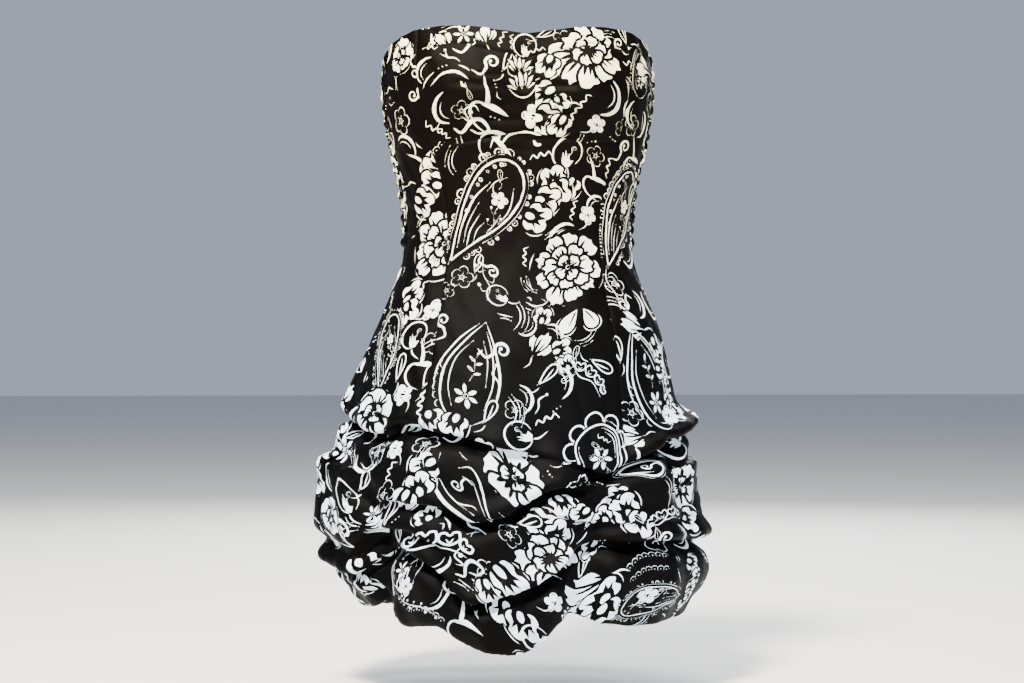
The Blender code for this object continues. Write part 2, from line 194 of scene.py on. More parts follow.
def chain():
    """Four blossoms that hang one from another, 95 mm long."""
    ink = [(WHITE, stroke((2 + 44j, 8 + 22j, 2, -8 - 26j, -4 - 50j), 2.6))]
    links = ((4 + 34j, 1.1, 50), (8 + 8j, 1.0, 250), (-6 - 8j, 0.95, 100), (-6 - 34j, 1.05, 20))
    for at, size, turn in links:
        ink += placed(blossom(), at, size, turn)
    return ink


def small_flower():
    """A little flower on its stalk, 28 mm across."""
    ink = [(WHITE, stroke((-4 - 6j, -14 - 10j, -24 - 8j), 2.6, 0.2))]
    for k in range(5):
        lobe = polar(8.2, 72 * k + 18)
        ink += [(WHITE, disc(lobe, hand.uniform(5, 6.2)))]
        ink += [(BLACK, arc(lobe, 2.6, 72 * k - 30, 72 * k + 90, 1.1))] if k % 2 else []
    ink += [(WHITE, disc(0, 6.5)), (BLACK, stroke((1 + 2j, 0 - 3j), 2.6, 0.4, 0.5))]
    return ink + [(BLACK, disc(-3 + 1j, 1.1, 6)), (BLACK, disc(4 - 2j, 0.9, 6))]


def star_flower():
    """A flower of six pointed petals round a ring, 34 mm across."""
    ink = []
    for k in range(6):
        turn = polar(1, 60 * k + hand.uniform(-6, 6))
        ink += [(WHITE, turn * stroke((2, 8 + 0.5j, 17), hand.uniform(6, 8), 0.6, 0.05))]
    ink += [(BLACK, disc(0, 5)), (WHITE, disc(0, 3.8))]
    return ink + [(BLACK, disc(0, 2.4, 8)), (WHITE, disc(0, 1, 6))]


def stem():
    """A brush stroke with a round end, 30 mm long."""
    return [(WHITE, stroke((0, 2 + 10j, -1 + 20j, 6 + 28j), 3.4, 0.7, 0.3)), (WHITE, disc(7 + 29j, 2.4, 8))]


def sprig():
    """A stem with pairs of leaves, 50 mm long."""
    ink = [(WHITE, stroke((0, 4 + 16j, 2 + 34j, 6 + 50j), 1.7))]
    for height, turn in ((12, 25), (16, 150), (28, 30), (32, 148), (44, 60)):
        leaf = stroke((0, 6, 13), 5.5, 0.5, 0.1)
        at = 3 + 1j * height
        ink += [(WHITE, at + polar(1, turn) * leaf)]
        ink += [(BLACK, at + polar(1, turn) * stroke((4, 9), 1.6))] if turn > 90 else []
    return ink


def tendril():
    """A thin stem with curled twigs and round buds, 46 mm long."""
    ink = [(WHITE, stroke((0, 3 + 14j, -2 + 30j, 4 + 46j), 1.8))]
    for height, side in ((10, 1), (22, -1), (33, 1)):
        twig = (1j * height, side * 7 + 1j * (height + 2), side * 10 + 1j * (height - 5))
        ink += [(WHITE, stroke(twig, 1.7))]
        ink += [(WHITE, disc(side * 10 + 1j * (height - 6), 2.5, 8))]
    return ink


def drop(long, wide, bend=0.0, count=44):
    """A drop with its tip at 0 and its round end along +x."""
    t = np.arange(count) * 2 * np.pi / count
    x = long * (1 - np.cos(t)) / 2
    return x + 1j * (0.65 * wide * np.sin(t) * np.sin(t / 2) ** 1.2 + bend * (1 - x / long) ** 2)


def paisley():
    """A scalloped paisley, 150 mm long, with a flower inside."""
    shape = drop(150, 62, 24, 52)
    ink = []
    edge = grown(shape, 7)
    for k in np.linspace(0.12, 0.9, 30):
        at = edge[int(k * edge.size)]
        size = hand.uniform(3.4, 6.4) * (1.1 if k < 0.5 else 0.75)
        ink += [(WHITE, disc(at, size))]
        ink += [(BLACK, disc(at + polar(0.5, hand.uniform(0, 360)), size - hand.uniform(1.4, 2)))]
        ink += [(WHITE, disc(at, hand.uniform(0.9, 1.5), 6))]
    ink += [(BLACK, grown(shape, 5.6)), (WHITE, shape)]
    ink += [(BLACK, grown(shape, -hand.uniform(2.2, 3.6, shape.size)))]
    ink += [(WHITE, stroke(grown(shape, 4.2)[6:25], 2, spans=1))]
    ink += [(WHITE, stroke(grown(shape, 3.8)[30:44], 1.5, spans=1))]
    inner = grown(shape, -7.5)
    for k in np.linspace(0.24, 0.48, 8):
        at = inner[int(k * inner.size)]
        ink += [(WHITE, disc(at, hand.uniform(2, 3.2), 8)), (BLACK, disc(at, 1.1, 6))]
    ink += [(WHITE, stroke((22 + 20j, 50 + 24j, 84 + 22j, 112 + 13j), 3.6, 0.5, 0.1))]
    ink += [(WHITE, stroke((30 + 15j, 56 + 18j, 82 + 15j), 2))]
    ink += [(WHITE, stroke((26 + 10j, 48 + 12j, 70 + 9j), 2.6, 0.3))]
    ink += [(WHITE, stroke((34 + 4j, 50 + 5j, 62 + 1j), 2))]
    ink += [(WHITE, stroke((70 - 14j, 94 - 19j, 120 - 14j), 2.2))]
    ink += [(WHITE, stroke((52 - 6j, 66 - 10j, 82 - 12j), 1.8))]
    ink += [(WHITE, stroke((100 + 12j, 116 + 8j, 128 - 2j), 2))]
    ink += placed(small_flower(), 98 - 4j, 0.8, 200)
    ink += placed(tendril(), 88 - 6j, 0.7, 96)
    ink += placed(leaf(), 118 + 1j, 0.5, 30)
    return placed(ink, -24j)


def broad_paisley():
    """A broad drop with large scallops round its end and a star flower inside, 90 mm long."""
    shape = drop(90, 62, 0, 36)
    edge = grown(shape, 3)
    ink = []
    for k in (9, 12, 15, 18, 21, 24):
        size = hand.uniform(9, 12)
        ink += [(WHITE, disc(edge[k], size, 14)), (BLACK, disc(edge[k], size - 2.6, 14))]
    ink += [(BLACK, grown(shape, 1.5)), (WHITE, shape), (BLACK, grown(shape, -2.6))]
    beside = ((4.6, 20, 34, 2.4), (-5.6, 19, 33, 2.6), (-9.4, 20, 28, 2), (-5.5, 6, 14, 1.8))
    for by, first, last, width in beside:
        ink += [(WHITE, stroke(grown(shape, by)[first:last], width, spans=1))]
    ink += placed(star_flower(), 50 + 1j, 0.85, 10)
    ink += placed(leaf(), 62 - 2j, 0.4, 50) + placed(leaf(), 60 + 4j, 0.35, 120)
    ink += placed(leaf(), 38 - 4j, 0.4, 210) + placed(squiggle(), 72 - 8j, 0.8, 60)
    return placed(ink, -56)


def leaf_paisley():
    """A long leaf of loose parallel strokes round a sprig and a star flower, 125 mm long."""
    ink = [(BLACK, grown(drop(125, 62, -16), 3))]
    ink += [(WHITE, stroke((0, 26 + 16j, 62 + 30j, 100 + 28j, 122 + 10j), 3.6, 0.4, 0.12))]
    ink += [(WHITE, stroke((10 + 3j, 34 + 15j, 66 + 23j, 98 + 20j), 2.6, 0.5))]
    ink += [(WHITE, stroke((22 + 2j, 44 + 12j, 72 + 16j), 1.8, 0.5))]
    ink += [(WHITE, stroke((0, 28 - 16j, 64 - 32j, 102 - 28j, 124 - 6j, 120 + 12j), 3.4, 0.5, 0.12))]
    ink += [(WHITE, stroke((4 - 6j, 34 - 26j, 66 - 40j, 96 - 38j), 2.8, 0.4))]
    ink += [(WHITE, stroke((26 - 8j, 52 - 22j, 82 - 24j, 106 - 14j), 2, 0.5))]
    ink += placed(star_flower(), 90 - 2j, 0.85, 15)
    ink += placed(sprig(), 72 - 2j, 0.72, 92)
    for k in range(6):
        at = 62 + 9 * k - 34j + 1j * (k - 2) ** 2
        ink += [(WHITE, arc(at - 3j, hand.uniform(3.4, 5), 200, 360, 1.8))]
    return ink


def scroll():
    """A curl with a round end, 34 mm long."""
    t = np.linspace(0, 1, 10)
    curl = polar(9 - 6.5 * t, 200 - 430 * t)
    line = np.concatenate(((-26 - 2j, -18 - 10j, -11 - 6j), curl))
    return [(WHITE, stroke(line, 4.2, 0.45, 0.3, 3)), (WHITE, disc(curl[-1], 2.3, 8))]


def ring_scroll():
    """An open ring with a curl and a torn leaf inside, 42 mm across."""
    ink = [(WHITE, arc(0, 19, -60, 262, 3.8, 0.6, 0.3))]
    ink += [(WHITE, stroke((-3 - 19j, -2 - 28j, 6 - 40j), 3.4, 0.2))]
    ink += placed(scroll(), 9 + 3j, 0.42, 20)
    leaf = (-6 - 18j, -8 - 9j, -6 + 2j, -4 - 6j, -2 + 4j, 0 - 6j, 3 - 1j, 3 - 10j, 8 - 12j, 2 - 19j)
    return ink + [(WHITE, np.array(leaf))]


def tail():
    """A leaf like a fish's tail on a long thin stem."""
    ink = [(WHITE, stroke((2 - 2j, 3 + 14j, -1 + 34j), 5.6, 0.15, 0.06))]
    ink += [(WHITE, stroke((-6 + 2j, 8 - 1j, 26 - 9j), 7.4, 0.4, 0.06))]
    ink += [(WHITE, stroke((6, -10 + 3j, -17 - 8j, -12 - 22j, 2 - 32j), 3.8, 0.3, 0.2))]
    return ink


def ribbon():
    """Two brush strokes that wind round each other, 44 mm long."""
    wound = (-22 - 6j, -12 - 12j, 0 + 2j, 12 + 4j, 20 - 6j, 8 - 12j, -2 - 8j)
    ink = [(WHITE, stroke(wound, 5.4, 0.4, 0.35))]
    ink += [(WHITE, stroke((-14 + 8j, -4 + 2j, -8 + 16j, 4 + 22j, 10 + 14j), 3, 0.5))]
    return ink + [(WHITE, disc(-1 + 14j, 3.4, 8))]


def crescents():
    """A bold curved stroke, a broken thin one outside it and three dots, 64 mm long."""
    ink = [(WHITE, arc(-24j, 32, 150, 40, 5.2, 0.7, 0.12))]
    ink += [(WHITE, arc(-24j, 42, 160, 122, 3)), (WHITE, arc(-24j, 42, 74, 50, 3.4))]
    ink += [(WHITE, disc(polar(42, a) - 24j, 1.4, 6)) for a in (112, 104, 96)]
    return ink + [(WHITE, stroke((14 - 6j, 16 - 12j, 22 - 14j), 4.4, 0.5, 0.5))]


def sickle():
    """A bold curved stroke with a thin one inside it, 36 mm long."""
    return [(WHITE, arc(16, 20, 112, 262, 5.6, 0.45, 0.12)), (WHITE, arc(18, 15, 150, 250, 2.2))]


def arcs():
    """Three thin curved strokes side by side."""
    three = ((24, 20, 90, 2.4), (29, 40, 70, 2), (34, 30, 50, 1.6))
    return [(WHITE, arc(0, out, start, start + sweep, width)) for out, start, sweep, width in three]


def squiggle():
    """A short wavy stroke."""
    return [(WHITE, stroke((-12, -8 + 4j, -4, 0 + 4j, 4, 9 + 3j, 12 - 3j), 2.5, 0.5, 0.5))]


def lace():
    """A row of little scallops with a bead in each, 60 mm long."""
    ink = []
    for k in range(7):
        at = -27 + 9 * k + 1j * (6 - 0.6 * (k - 3) ** 2)
        ink += [(WHITE, arc(at, 4.6, 200, -20, 2)), (WHITE, disc(at - 0.6j, 1.2, 6))]
    return ink


def fan():
    """A half flower of pointed petals over a bowl, 28 mm across."""
    ink = [(WHITE, arc(0, 15, 190, 350, 2.2))]
    for turn in (12, 168, 38, 142, 66, 114, 90):
        tip = polar(hand.uniform(13, 18), turn) - 5j
        line = (-7j, 0.5 * tip - 3j, tip)
        ink += [(BLACK, stroke(line, 8, 0.45, 0.3)), (WHITE, stroke(line, 5.6, 0.45, 0.05))]
    return ink + [(BLACK, stroke((-6 - 7j, 0 - 4j, 6 - 7j), 1.4))]


def tulip():
    """Three long solid petals, 40 mm long."""
    ink = []
    for turn, long, wide in ((122, 32, 14), (60, 34, 14), (92, 40, 18)):
        shape = polar(1, turn) * petal(long, wide)
        ink += [(BLACK, grown(shape, 1.9)), (WHITE, shape)]
        ink += [(BLACK, polar(1, turn) * vein) for vein in veins(long, wide, 2)]
    return ink + [(WHITE, stroke((0, 4 - 10j, 1 - 20j), 3, 0.2))]


def buds():
    """Two round petals, one behind the other, with a line round each, 44 mm across."""
    ink = []
    for turn, long in ((232, 36), (305, 32)):
        shape = polar(1, turn) * (6 + drop(long, 22, 0, 20))
        ink += [(WHITE, polar(1, turn) * (4 + drop(long + 6, 30, 0, 24)))]
        ink += [(BLACK, grown(shape, 2.4)), (WHITE, shape)]
        ink += [(BLACK, polar(1, turn) * stroke((10, 20 + 2j, 31 + 3j), 2.4, 0.2, 0.05))]
    return ink


def leaf():
    """A veined leaf drawn in outline, 34 mm long."""
    shape = drop(34, 15, 4, 20)
    ink = [(WHITE, shape), (BLACK, grown(shape, -2.2))]
    ink += [(WHITE, stroke((8 + 1j, 18, 28), 2.6, 0.5))]
    return ink + [(WHITE, stroke((0, -8 + 2j, -14 + 8j), 2.2, 0.2))]


def curl_leaf():
    """A broad curling leaf drawn with parallel strokes, 90 mm long."""
    ink = [(WHITE, stroke((-34 + 34j, -38, -16 - 34j, 24 - 46j, 52 - 44j), 7, 0.6, 0.12))]
    ink += [(WHITE, stroke((-28 + 38j, -28 + 4j, -8 - 24j, 24 - 34j), 2.2))]
    ink += [(WHITE, stroke((-2 + 26j, 16 + 34j, 30 + 18j, 38 - 12j, 52 - 40j), 4.4, 0.5, 0.1))]
    ink += [(WHITE, stroke((4 + 16j, 20 + 14j, 28 - 8j, 44 - 36j), 2.2))]
    ink += placed(scroll(), -4 + 0j, 1.0, 200)
    return ink + [(WHITE, stroke((-14 - 18j, 0 - 27j, 20 - 22j, 28 - 26j), 3.4))]


def shell():
    """A low scroll inside a drop, 70 mm long."""
    shape = drop(72, 42, 10, 30)
    ink = [(WHITE, grown(shape, 4)), (BLACK, grown(shape, 2.6))]
    ink += [(WHITE, shape), (BLACK, grown(shape, -4.6))]
    return ink + placed(scroll(), 46 + 4j, 0.85, 150) + [(WHITE, stroke((14 + 2j, 30 - 6j, 50 - 9j), 3))]


def branch():
    """A long thin branch with buds on both sides, 90 mm long."""
    line = smooth((-45 + 12j, -20 + 2j, 10 - 4j, 45 - 20j))
    ink = [(WHITE, stroke((-45 + 12j, -20 + 2j, 10 - 4j, 45 - 20j), 2.4))]
    for k, at in enumerate(line[1:-1]):
        side = 5 if k % 2 else -5
        ink += [(WHITE, disc(at + side * 1j + 2, hand.uniform(1.6, 3), 7))]
        ink += [(WHITE, stroke((at, at + 1 + 0.9j * side), 1.3))]
    return ink


def outline_flower():
    """A blossom drawn in broken outline, 36 mm across."""
    ink = []
    for k in range(5):
        lobe = polar(10, 72 * k + hand.uniform(-6, 6))
        ink += [(WHITE, arc(lobe, 7, 72 * k - 110, 72 * k + 100, 2.2, 0.6))]
        ink += [(WHITE, stroke((0.4 * lobe, 0.8 * lobe), 1.8))]
    return ink + [(WHITE, disc(0, 4.4, 8)), (BLACK, disc(0, 2.6, 8)), (WHITE, disc(0.4, 1.1, 6))]


def berries():
    """A cluster of open bowls on a bent stem, 60 mm long."""
    ink = [(WHITE, stroke((-30 + 4j, -12 - 5j, 8 - 2j, 28 - 10j), 2.2, 0.4))]
    open_bowl = (-8 + 4j, -8.5 - 3j, 0 - 8j, 8.5 - 3j, 7 + 5j, 2 + 5j, 0 + 2.5j, -3 + 5j)
    open_bowl = smooth(open_bowl, closed=True, spans=3)
    for at, size, turn in ((-18 + 6j, 0.9, 20), (-2 + 8j, 1.0, -10), (14 + 6j, 0.9, 0), (26, 0.7, -40)):
        bowl = at + size * polar(1, turn) * open_bowl
        ink += [(WHITE, grown(bowl, 0.2)), (BLACK, grown(bowl, -1.9))]
        ink += [(WHITE, at + size * polar(1, turn) * stroke((-3 - 1j, 0 - 5j, 3 - 1j), 2.2))]
    return ink + placed(leaf(), -28 + 6j, 0.6, 120) + placed(leaf(), -20 - 4j, 0.6, 250)


def dashes():
    """One or two dry strokes of the brush, side by side."""
    ink = []
    for k in range(hand.integers(1, 3)):
        long, bend = hand.uniform(4, 9), hand.uniform(-3, 3)
        line = (-long + 4.5j * k, 1j * (bend + 4.5 * k), long + hand.uniform(-3, 3) + 4.5j * k)
        ink.append((WHITE, stroke(line, hand.uniform(1.6, 2.8), 0.4, 0.1)))
    return ink


def dots():
    """Three dots in a row."""
    return [(WHITE, disc(4.5 * k - 4.5 + 0.4j * (k % 2), hand.uniform(0.9, 1.5), 6)) for k in range(3)]


def ink_at(places, drawing):
    """The ink that lies uppermost at each place."""
    ink = np.zeros(places.size, dtype=int)
    order = np.argsort(places.real)
    across = places.real[order]
    for colour, outline in drawing:
        first, last = np.searchsorted(across, (outline.real.min(), outline.real.max()))
        near = order[first:last]
        up = places.imag[near]
        near = near[(up > outline.imag.min()) & (up < outline.imag.max())]
        if near.size:
            ink[near[within(places[near], outline)]] = colour
    return ink


# How many places are tested against an outline at one time, to save memory
AT_ONCE = 4000


def within(places, outline):
    """Which places lie inside an outline, by the turns that it makes round them."""
    a, b = outline[None], np.roll(outline, -1)[None]
    inside = np.empty(places.size, dtype=bool)
    for first in range(0, places.size, AT_ONCE):
        p = places[first : first + AT_ONCE, None]
        left = ((b - a).conj() * (p - a)).imag
        rises = (a.imag <= p.imag) & (b.imag > p.imag) & (left > 0)
        falls = (a.imag > p.imag) & (b.imag <= p.imag) & (left < 0)
        inside[first : first + AT_ONCE] = rises.sum(axis=1) != falls.sum(axis=1)
    return inside


# The shape of the dress
# The cloth is cut in panels whose seams give the bodice its shape, and the skirt is drawn up into
# three uneven folds and turned in at the hem. Rings go down the body, then rows pass through each
# fold and round the hem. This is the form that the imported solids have.
def table(columns, *rows):
    """A short table as a dictionary of named columns."""
    return dict(zip(columns.split(), np.array(rows, dtype=float).T))


RINGS = table(
    "height half_width front back princess",
    (66, 143, 98, 94, 51),
    (30, 148, 105, 99, 50),
    (0, 149, 107, 101, 49),
    (-32, 145.5, 103, 101, 47.5),
    (-64, 139.5, 99, 99, 45.5),
    (-95, 132.5, 96, 97, 42.5),
    (-126, 127.5, 95, 95, 40.5),
    (-157, 126, 96, 94, 40),
    (-190, 129.5, 100, 98, 39.5),
    (-225, 142.5, 109, 108, 37.5),
    (-262, 157.5, 121, 121, 36),
)
SQUARE = 0.03
CUP_APART, CUP_HEIGHT, CUP_OUT, CUP_WIDE, CUP_TALL = 140, -6, 17, 42, 40
CENTRE_DIP, CENTRE_DIP_WIDE = 5, 16
NECK = table(
    "angle top band_depth under_bust",
    (0, 55.5, 26, -49),
    (15, 61, 23, -56),
    (31, 65.3, 19, -62),
    (48, 64, 22, -57),
    (61, 58.5, 22, -56),
    (72, 53.5, 22, -56),
    (85, 46, 22, -56),
    (97, 41, 22, -56),
    (120, 38, 22, -56),
    (180, 38, 22, -56),
)
SIDE_ANGLE = 82
SHIRRED_BOTTOM = -172

# Folds: height of the lower edge, half width there, how far the cloth doubles back, width below it
FIRST_FOLD = table(
    "angle edge radius tuck below",
    (-150, -386, 195, 0.9, 206),
    (-120, -368, 187, 1.0, 205),
    (-91, -351, 196, 1.0, 203),
    (-74, -367, 190, 0.8, 199),
    (-54, -375, 190, 0.6, 200),
    (-45, -364, 191, 1.0, 202),
    (-30, -371, 192, 1.0, 203),
    (-15, -383, 192, 0.8, 203),
    (0, -395, 192, 0.3, 201),
    (8, -400, 192, 0.0, 200),
    (17, -408, 189, 0.25, 197),
    (25, -419, 184, 0.7, 193),
    (38, -402, 190, 1.0, 197),
    (54, -386, 193, 1.0, 196),
    (73, -374, 196, 1.0, 188),
    (83, -367, 199, 1.0, 185),
    (100, -362, 196, 1.0, 190),
    (122, -378, 187, 1.0, 203),
    (150, -394, 195, 0.8, 208),
    (180, -378, 192, 0.9, 208),
)
SECOND_FOLD = table(
    "angle edge radius tuck below",
    (-150, -452, 214, 0.5, 218),
    (-120, -438, 216, 0.0, 220),
    (-91, -430, 220, 0.0, 225),
    (-60, -440, 206, 0.0, 208),
    (-45, -446, 205, 0.3, 207),
    (-28, -450, 208, 0.7, 208),
    (-17, -466, 210, 1.0, 206),
    (-9, -462, 211, 1.0, 205),
    (0, -444, 209, 1.0, 206),
    (9, -431, 206, 0.9, 206),
    (17, -429, 199, 0.6, 203),
    (28, -446, 196, 0.0, 204),
    (50, -440, 202, 0.0, 206),
    (85, -432, 196, 0.0, 203),
    (120, -440, 208, 0.0, 212),
    (150, -458, 214, 0.6, 216),
    (180, -436, 212, 0.1, 216),
)
THIRD_FOLD = table(
    "angle edge radius tuck below",
    (-150, -534, 216, 1.0, 198),
    (-120, -500, 212, 1.0, 193),
    (-91, -515, 220, 1.0, 187),
    (-64, -528, 203, 0.8, 186),
    (-55, -508, 192, 0.6, 186),
    (-46, -496, 198, 0.7, 192),
    (-30, -512, 206, 0.8, 198),
    (-17, -553, 212, 1.0, 203),
    (-9, -545, 213, 1.0, 203),
    (0, -535, 212, 1.0, 203),
    (10, -513, 208, 0.9, 200),
    (17, -492, 198, 0.6, 192),
    (27, -489, 205, 0.9, 202),
    (40, -489, 211, 1.0, 208),
    (60, -491, 212, 1.0, 211),
    (85, -491, 213, 1.0, 214),
    (100, -500, 211, 1.0, 209),
    (122, -512, 205, 0.9, 198),
    (150, -536, 214, 1.0, 204),
    (180, -516, 208, 1.0, 200),
)
HEM = table(
    "angle edge radius",
    (-150, -592, 190),
    (-120, -574, 184),
    (-91, -570, 184),
    (-66, -562, 183),
    (-59, -552, 180),
    (-52, -573, 187),
    (-45, -581, 192),
    (-32, -579, 194),
    (-20, -599, 198),
    (-12, -606, 200),
    (-4, -607, 200),
    (3, -597, 199),
    (10, -578, 194),
    (16, -566, 186),
    (24, -575, 194),
    (40, -581, 199),
    (65, -580, 200),
    (85, -576, 197),
    (110, -574, 192),
    (125, -568, 186),
    (152, -594, 193),
    (180, -580, 188),
)
SKIRT_FRONT, SKIRT_BACK = 0.78, 0.8
FLARE = table(
    "angle radius",
    (-91, 188),
    (-60, 184),
    (0, 184),
    (40, 178),
    (83, 177),
    (115, 181),
    (180, 186),
)

# The rows through a fold, in a full pocket and where the fold has faded out, and round the hem
POCKET = table(
    "inward rise rise_faded",
    (0, 7, 4),
    (4, 0, 1.5),
    (12, 4, -1.5),
    (19, 11, -4),
    (25, 5, -6.5),
    (21, -7, -10),
)
FULL_ROOM, LEAST_ROOM = 60, 0.45
ABOVE_FOLD, ABOVE_FOLD_IN, BELOW_FOLD = 24, 10, 20
SHELF, MIDWAY = 0.55, 0.55
HEM_TURN = table("inward rise", (5, 10), (15, 0), (27, 5), (34, 17), (37, 32))

# Lines where gathering thread draws the skirt up, and the gathers that run all round it
RUCHES = table(
    "top_angle bottom_angle top bottom depth half_angle",
    (-70, -48, -372, -495, 8, 6),
    (-50, -55, -500, -562, 8, 5),
    (25, 21, -420, -490, 7, 6),
    (19, 16, -495, -572, 7, 5),
    (56, 58, -386, -455, 5, 5),
    (122, 125, -378, -572, 9, 6),
    (-120, -118, -368, -576, 9, 6),
    (180, 180, -380, -580, 6, 6),
)
RUCHE_FADE = 16
GATHERS = table("waves depth start", (13, 2.2, 20), (19, 1.5, 65), (7, 2.0, 130))
GATHER_TOP, GATHER_FADE = -318, 60
HIP_ROW = len(RINGS["height"]) - 1
FLARE_ROW = HIP_ROW + 2
FOLD_ROWS = len(POCKET["rise"]) + 3
LAST_ROW = HIP_ROW + 1 + 3 * FOLD_ROWS + len(HEM_TURN["rise"])
JOIN_ROW = FLARE_ROW + 4


def monotone(knots, values, at):
    """Smooth curve through a table's values that never overshoots them."""
    step = np.diff(knots)
    slope = np.diff(values) / step
    before, after = slope[:-1], slope[1:]
    turning = before * after <= 0
    safe = np.where(turning, 1.0, before + after)
    inner = np.where(turning, 0.0, 2 * before * after / safe)
    tangent = np.concatenate((slope[:1], inner, slope[-1:]))
    k = np.clip(np.searchsorted(knots, at, "right") - 1, 0, len(step) - 1)
    u = np.clip((at - knots[k]) / step[k], 0, 1)
    start = (1 + 2 * u) * (1 - u) ** 2 * values[k] + u * (1 - u) ** 2 * step[k] * tangent[k]
    end = u * u * (3 - 2 * u) * values[k + 1] + u * u * (u - 1) * step[k] * tangent[k + 1]
    return start + end


def round_the_dress(columns, name, angle):
    """One column of an angle table, read at the angles given, all the way round."""
    knots = np.concatenate([columns["angle"] + turn for turn in (-360, 0, 360)])
    return monotone(knots, np.tile(columns[name], 3), (angle + 180) % 360 - 180)


def skirt_ring(radius, height):
    return np.stack((radius, SKIRT_FRONT * radius, SKIRT_BACK * radius, height))


def fold_rows(fold, angle, room_above, next_edge):
    """The rows of one fold, from the puff above it to midway to the next edge."""
    edge, radius, tuck, below = (
        round_the_dress(fold, name, angle) for name in ("edge", "radius", "tuck", "below")
    )
    room_below = edge - next_edge
    tight_above = np.minimum(1, room_above / FULL_ROOM)
    tight_below = np.minimum(1, room_below / FULL_ROOM)
    rows = [skirt_ring(radius - ABOVE_FOLD_IN * tuck * tight_above, edge + ABOVE_FOLD * tight_above)]
    for inward, rise, rise_faded in zip(*POCKET.values()):
        tight = np.maximum(LEAST_ROOM, tight_above if rise_faded > 0 else tight_below)
        height = edge + rise * tuck + rise_faded * tight * (1 - tuck)
        rows.append(skirt_ring(radius - inward * tuck, height))
    shelf = radius - POCKET["inward"][1] * tuck + SHELF * (below - radius)
    rows.append(skirt_ring(shelf, edge - BELOW_FOLD * tight_below))
    rows.append(skirt_ring(below, edge - MIDWAY * room_below))
    return rows


def profile(angle):
    """Half width, front depth, back depth and height of every row, at the angles given."""
    rings = np.stack([RINGS[name] for name in ("half_width", "front", "back", "height")], axis=1)
    rows = [np.repeat(ring[:, None], angle.size, axis=1) for ring in rings]
    folds = (FIRST_FOLD, SECOND_FOLD, THIRD_FOLD)
    edges = [round_the_dress(columns, "edge", angle) for columns in (*folds, HEM)]
    flare = skirt_ring(round_the_dress(FLARE, "radius", angle), edges[0] + ABOVE_FOLD)
    rows.append(0.5 * (rows[-1] + flare))
    room_above = np.full_like(angle, FULL_ROOM)
    for fold, edge, next_edge in zip(folds, edges, edges[1:]):
        rows += fold_rows(fold, angle, room_above, next_edge)
        room_above = edge - next_edge
    rows[FLARE_ROW] = flare
    hem_radius = round_the_dress(HEM, "radius", angle)
    for inward, rise in zip(*HEM_TURN.values()):
        rows.append(skirt_ring(hem_radius - inward, edges[-1] + rise))
    return np.stack(rows)


def gathered(angle, height):
    """How far the gathers and the drawn-up lines move the skirt in or out."""
    spread = np.clip((GATHER_TOP - height) / GATHER_FADE, 0, 1)
    out = np.zeros_like(height)
    for waves, depth, start in zip(*GATHERS.values()):
        out += depth * np.cos(np.radians(waves * (angle - start)))
    for top_angle, bottom_angle, top, bottom, depth, half_angle in zip(*RUCHES.values()):
        along = np.clip((top - height) / (top - bottom), 0, 1)
        away = (angle - top_angle - (bottom_angle - top_angle) * along + 180) % 360 - 180
        ends = np.clip((top + RUCHE_FADE - height) / RUCHE_FADE, 0, 1)
        ends *= np.clip((height - bottom + RUCHE_FADE) / RUCHE_FADE, 0, 1)
        out -= depth * ends * np.exp(-((away / half_angle) ** 2))
    return out * spread


def cups(x, height):
    """How far the cups stand forward of the plain ring."""
    across = (np.abs(x) - CUP_APART / 2) / CUP_WIDE
    along = (height - CUP_HEIGHT) / CUP_TALL
    dip = np.exp(-((x / CENTRE_DIP_WIDE) ** 2) - along**2)
    return CUP_OUT * np.exp(-(across**2) - along**2) - CENTRE_DIP * dip


# The whole surface once, as a fine net that every piece is read from: rows down and angles round
ROW_STEP, ANGLE_STEP = 1 / 12, 0.5
ROWS = np.arange(0, LAST_ROW + ROW_STEP / 2, ROW_STEP)
ANGLES = np.arange(-SIDE_ANGLE - 6, 360 - SIDE_ANGLE + 6.1, ANGLE_STEP)


def net():
    """The middle of the cloth at every row and angle of the net."""
    controls = profile(ANGLES)
    k = np.minimum(ROWS.astype(int), LAST_ROW - 1)
    u = (ROWS - k)[:, None, None]
    before, start, end, after = (
        controls[np.clip(k + shift, 0, LAST_ROW)] for shift in (-1, 0, 1, 2)
    )
    curve = 0.5 * (
        2 * start
        + (end - before) * u
        + (2 * before - 5 * start + 4 * end - after) * u**2
        + (3 * start - before - 3 * end + after) * u**3
    )
    half_width, front, back, height = np.moveaxis(curve, 1, 0)
    turn = np.radians(ANGLES)
    square = 1 + SQUARE * (1 - np.cos(4 * turn)) / 2
    out = gathered(ANGLES[None], height)
    depth = np.where(np.cos(turn) > 0, front, back)
    x = (half_width * square + out) * np.sin(turn)
    y = -(depth * square + out) * np.cos(turn)
    y -= np.where(np.cos(turn) > 0, cups(x, height), 0)
    return np.stack((x, y, height), axis=2)


def outward(form):
    """The direction out of the cloth at every point of the net."""
    normal = np.cross(np.gradient(form, axis=0), np.gradient(form, axis=1))
    return normal / np.linalg.norm(normal, axis=2, keepdims=True)


def read(field, angle, row, step=ROW_STEP):
    """A field of the net at any angles and rows."""
    r = np.clip(row / step, 0, field.shape[0] - 1.001)
    a = np.clip((angle - ANGLES[0]) / ANGLE_STEP, 0, field.shape[1] - 1.001)
    i, j = r.astype(int), a.astype(int)
    r, a = r - i, a - j
    if field.ndim == 3:
        r, a = r[..., None], a[..., None]
    near = field[i, j] * (1 - a) + field[i, j + 1] * a
    return near * (1 - r) + (field[i + 1, j] * (1 - a) + field[i + 1, j + 1] * a) * r


form = net()

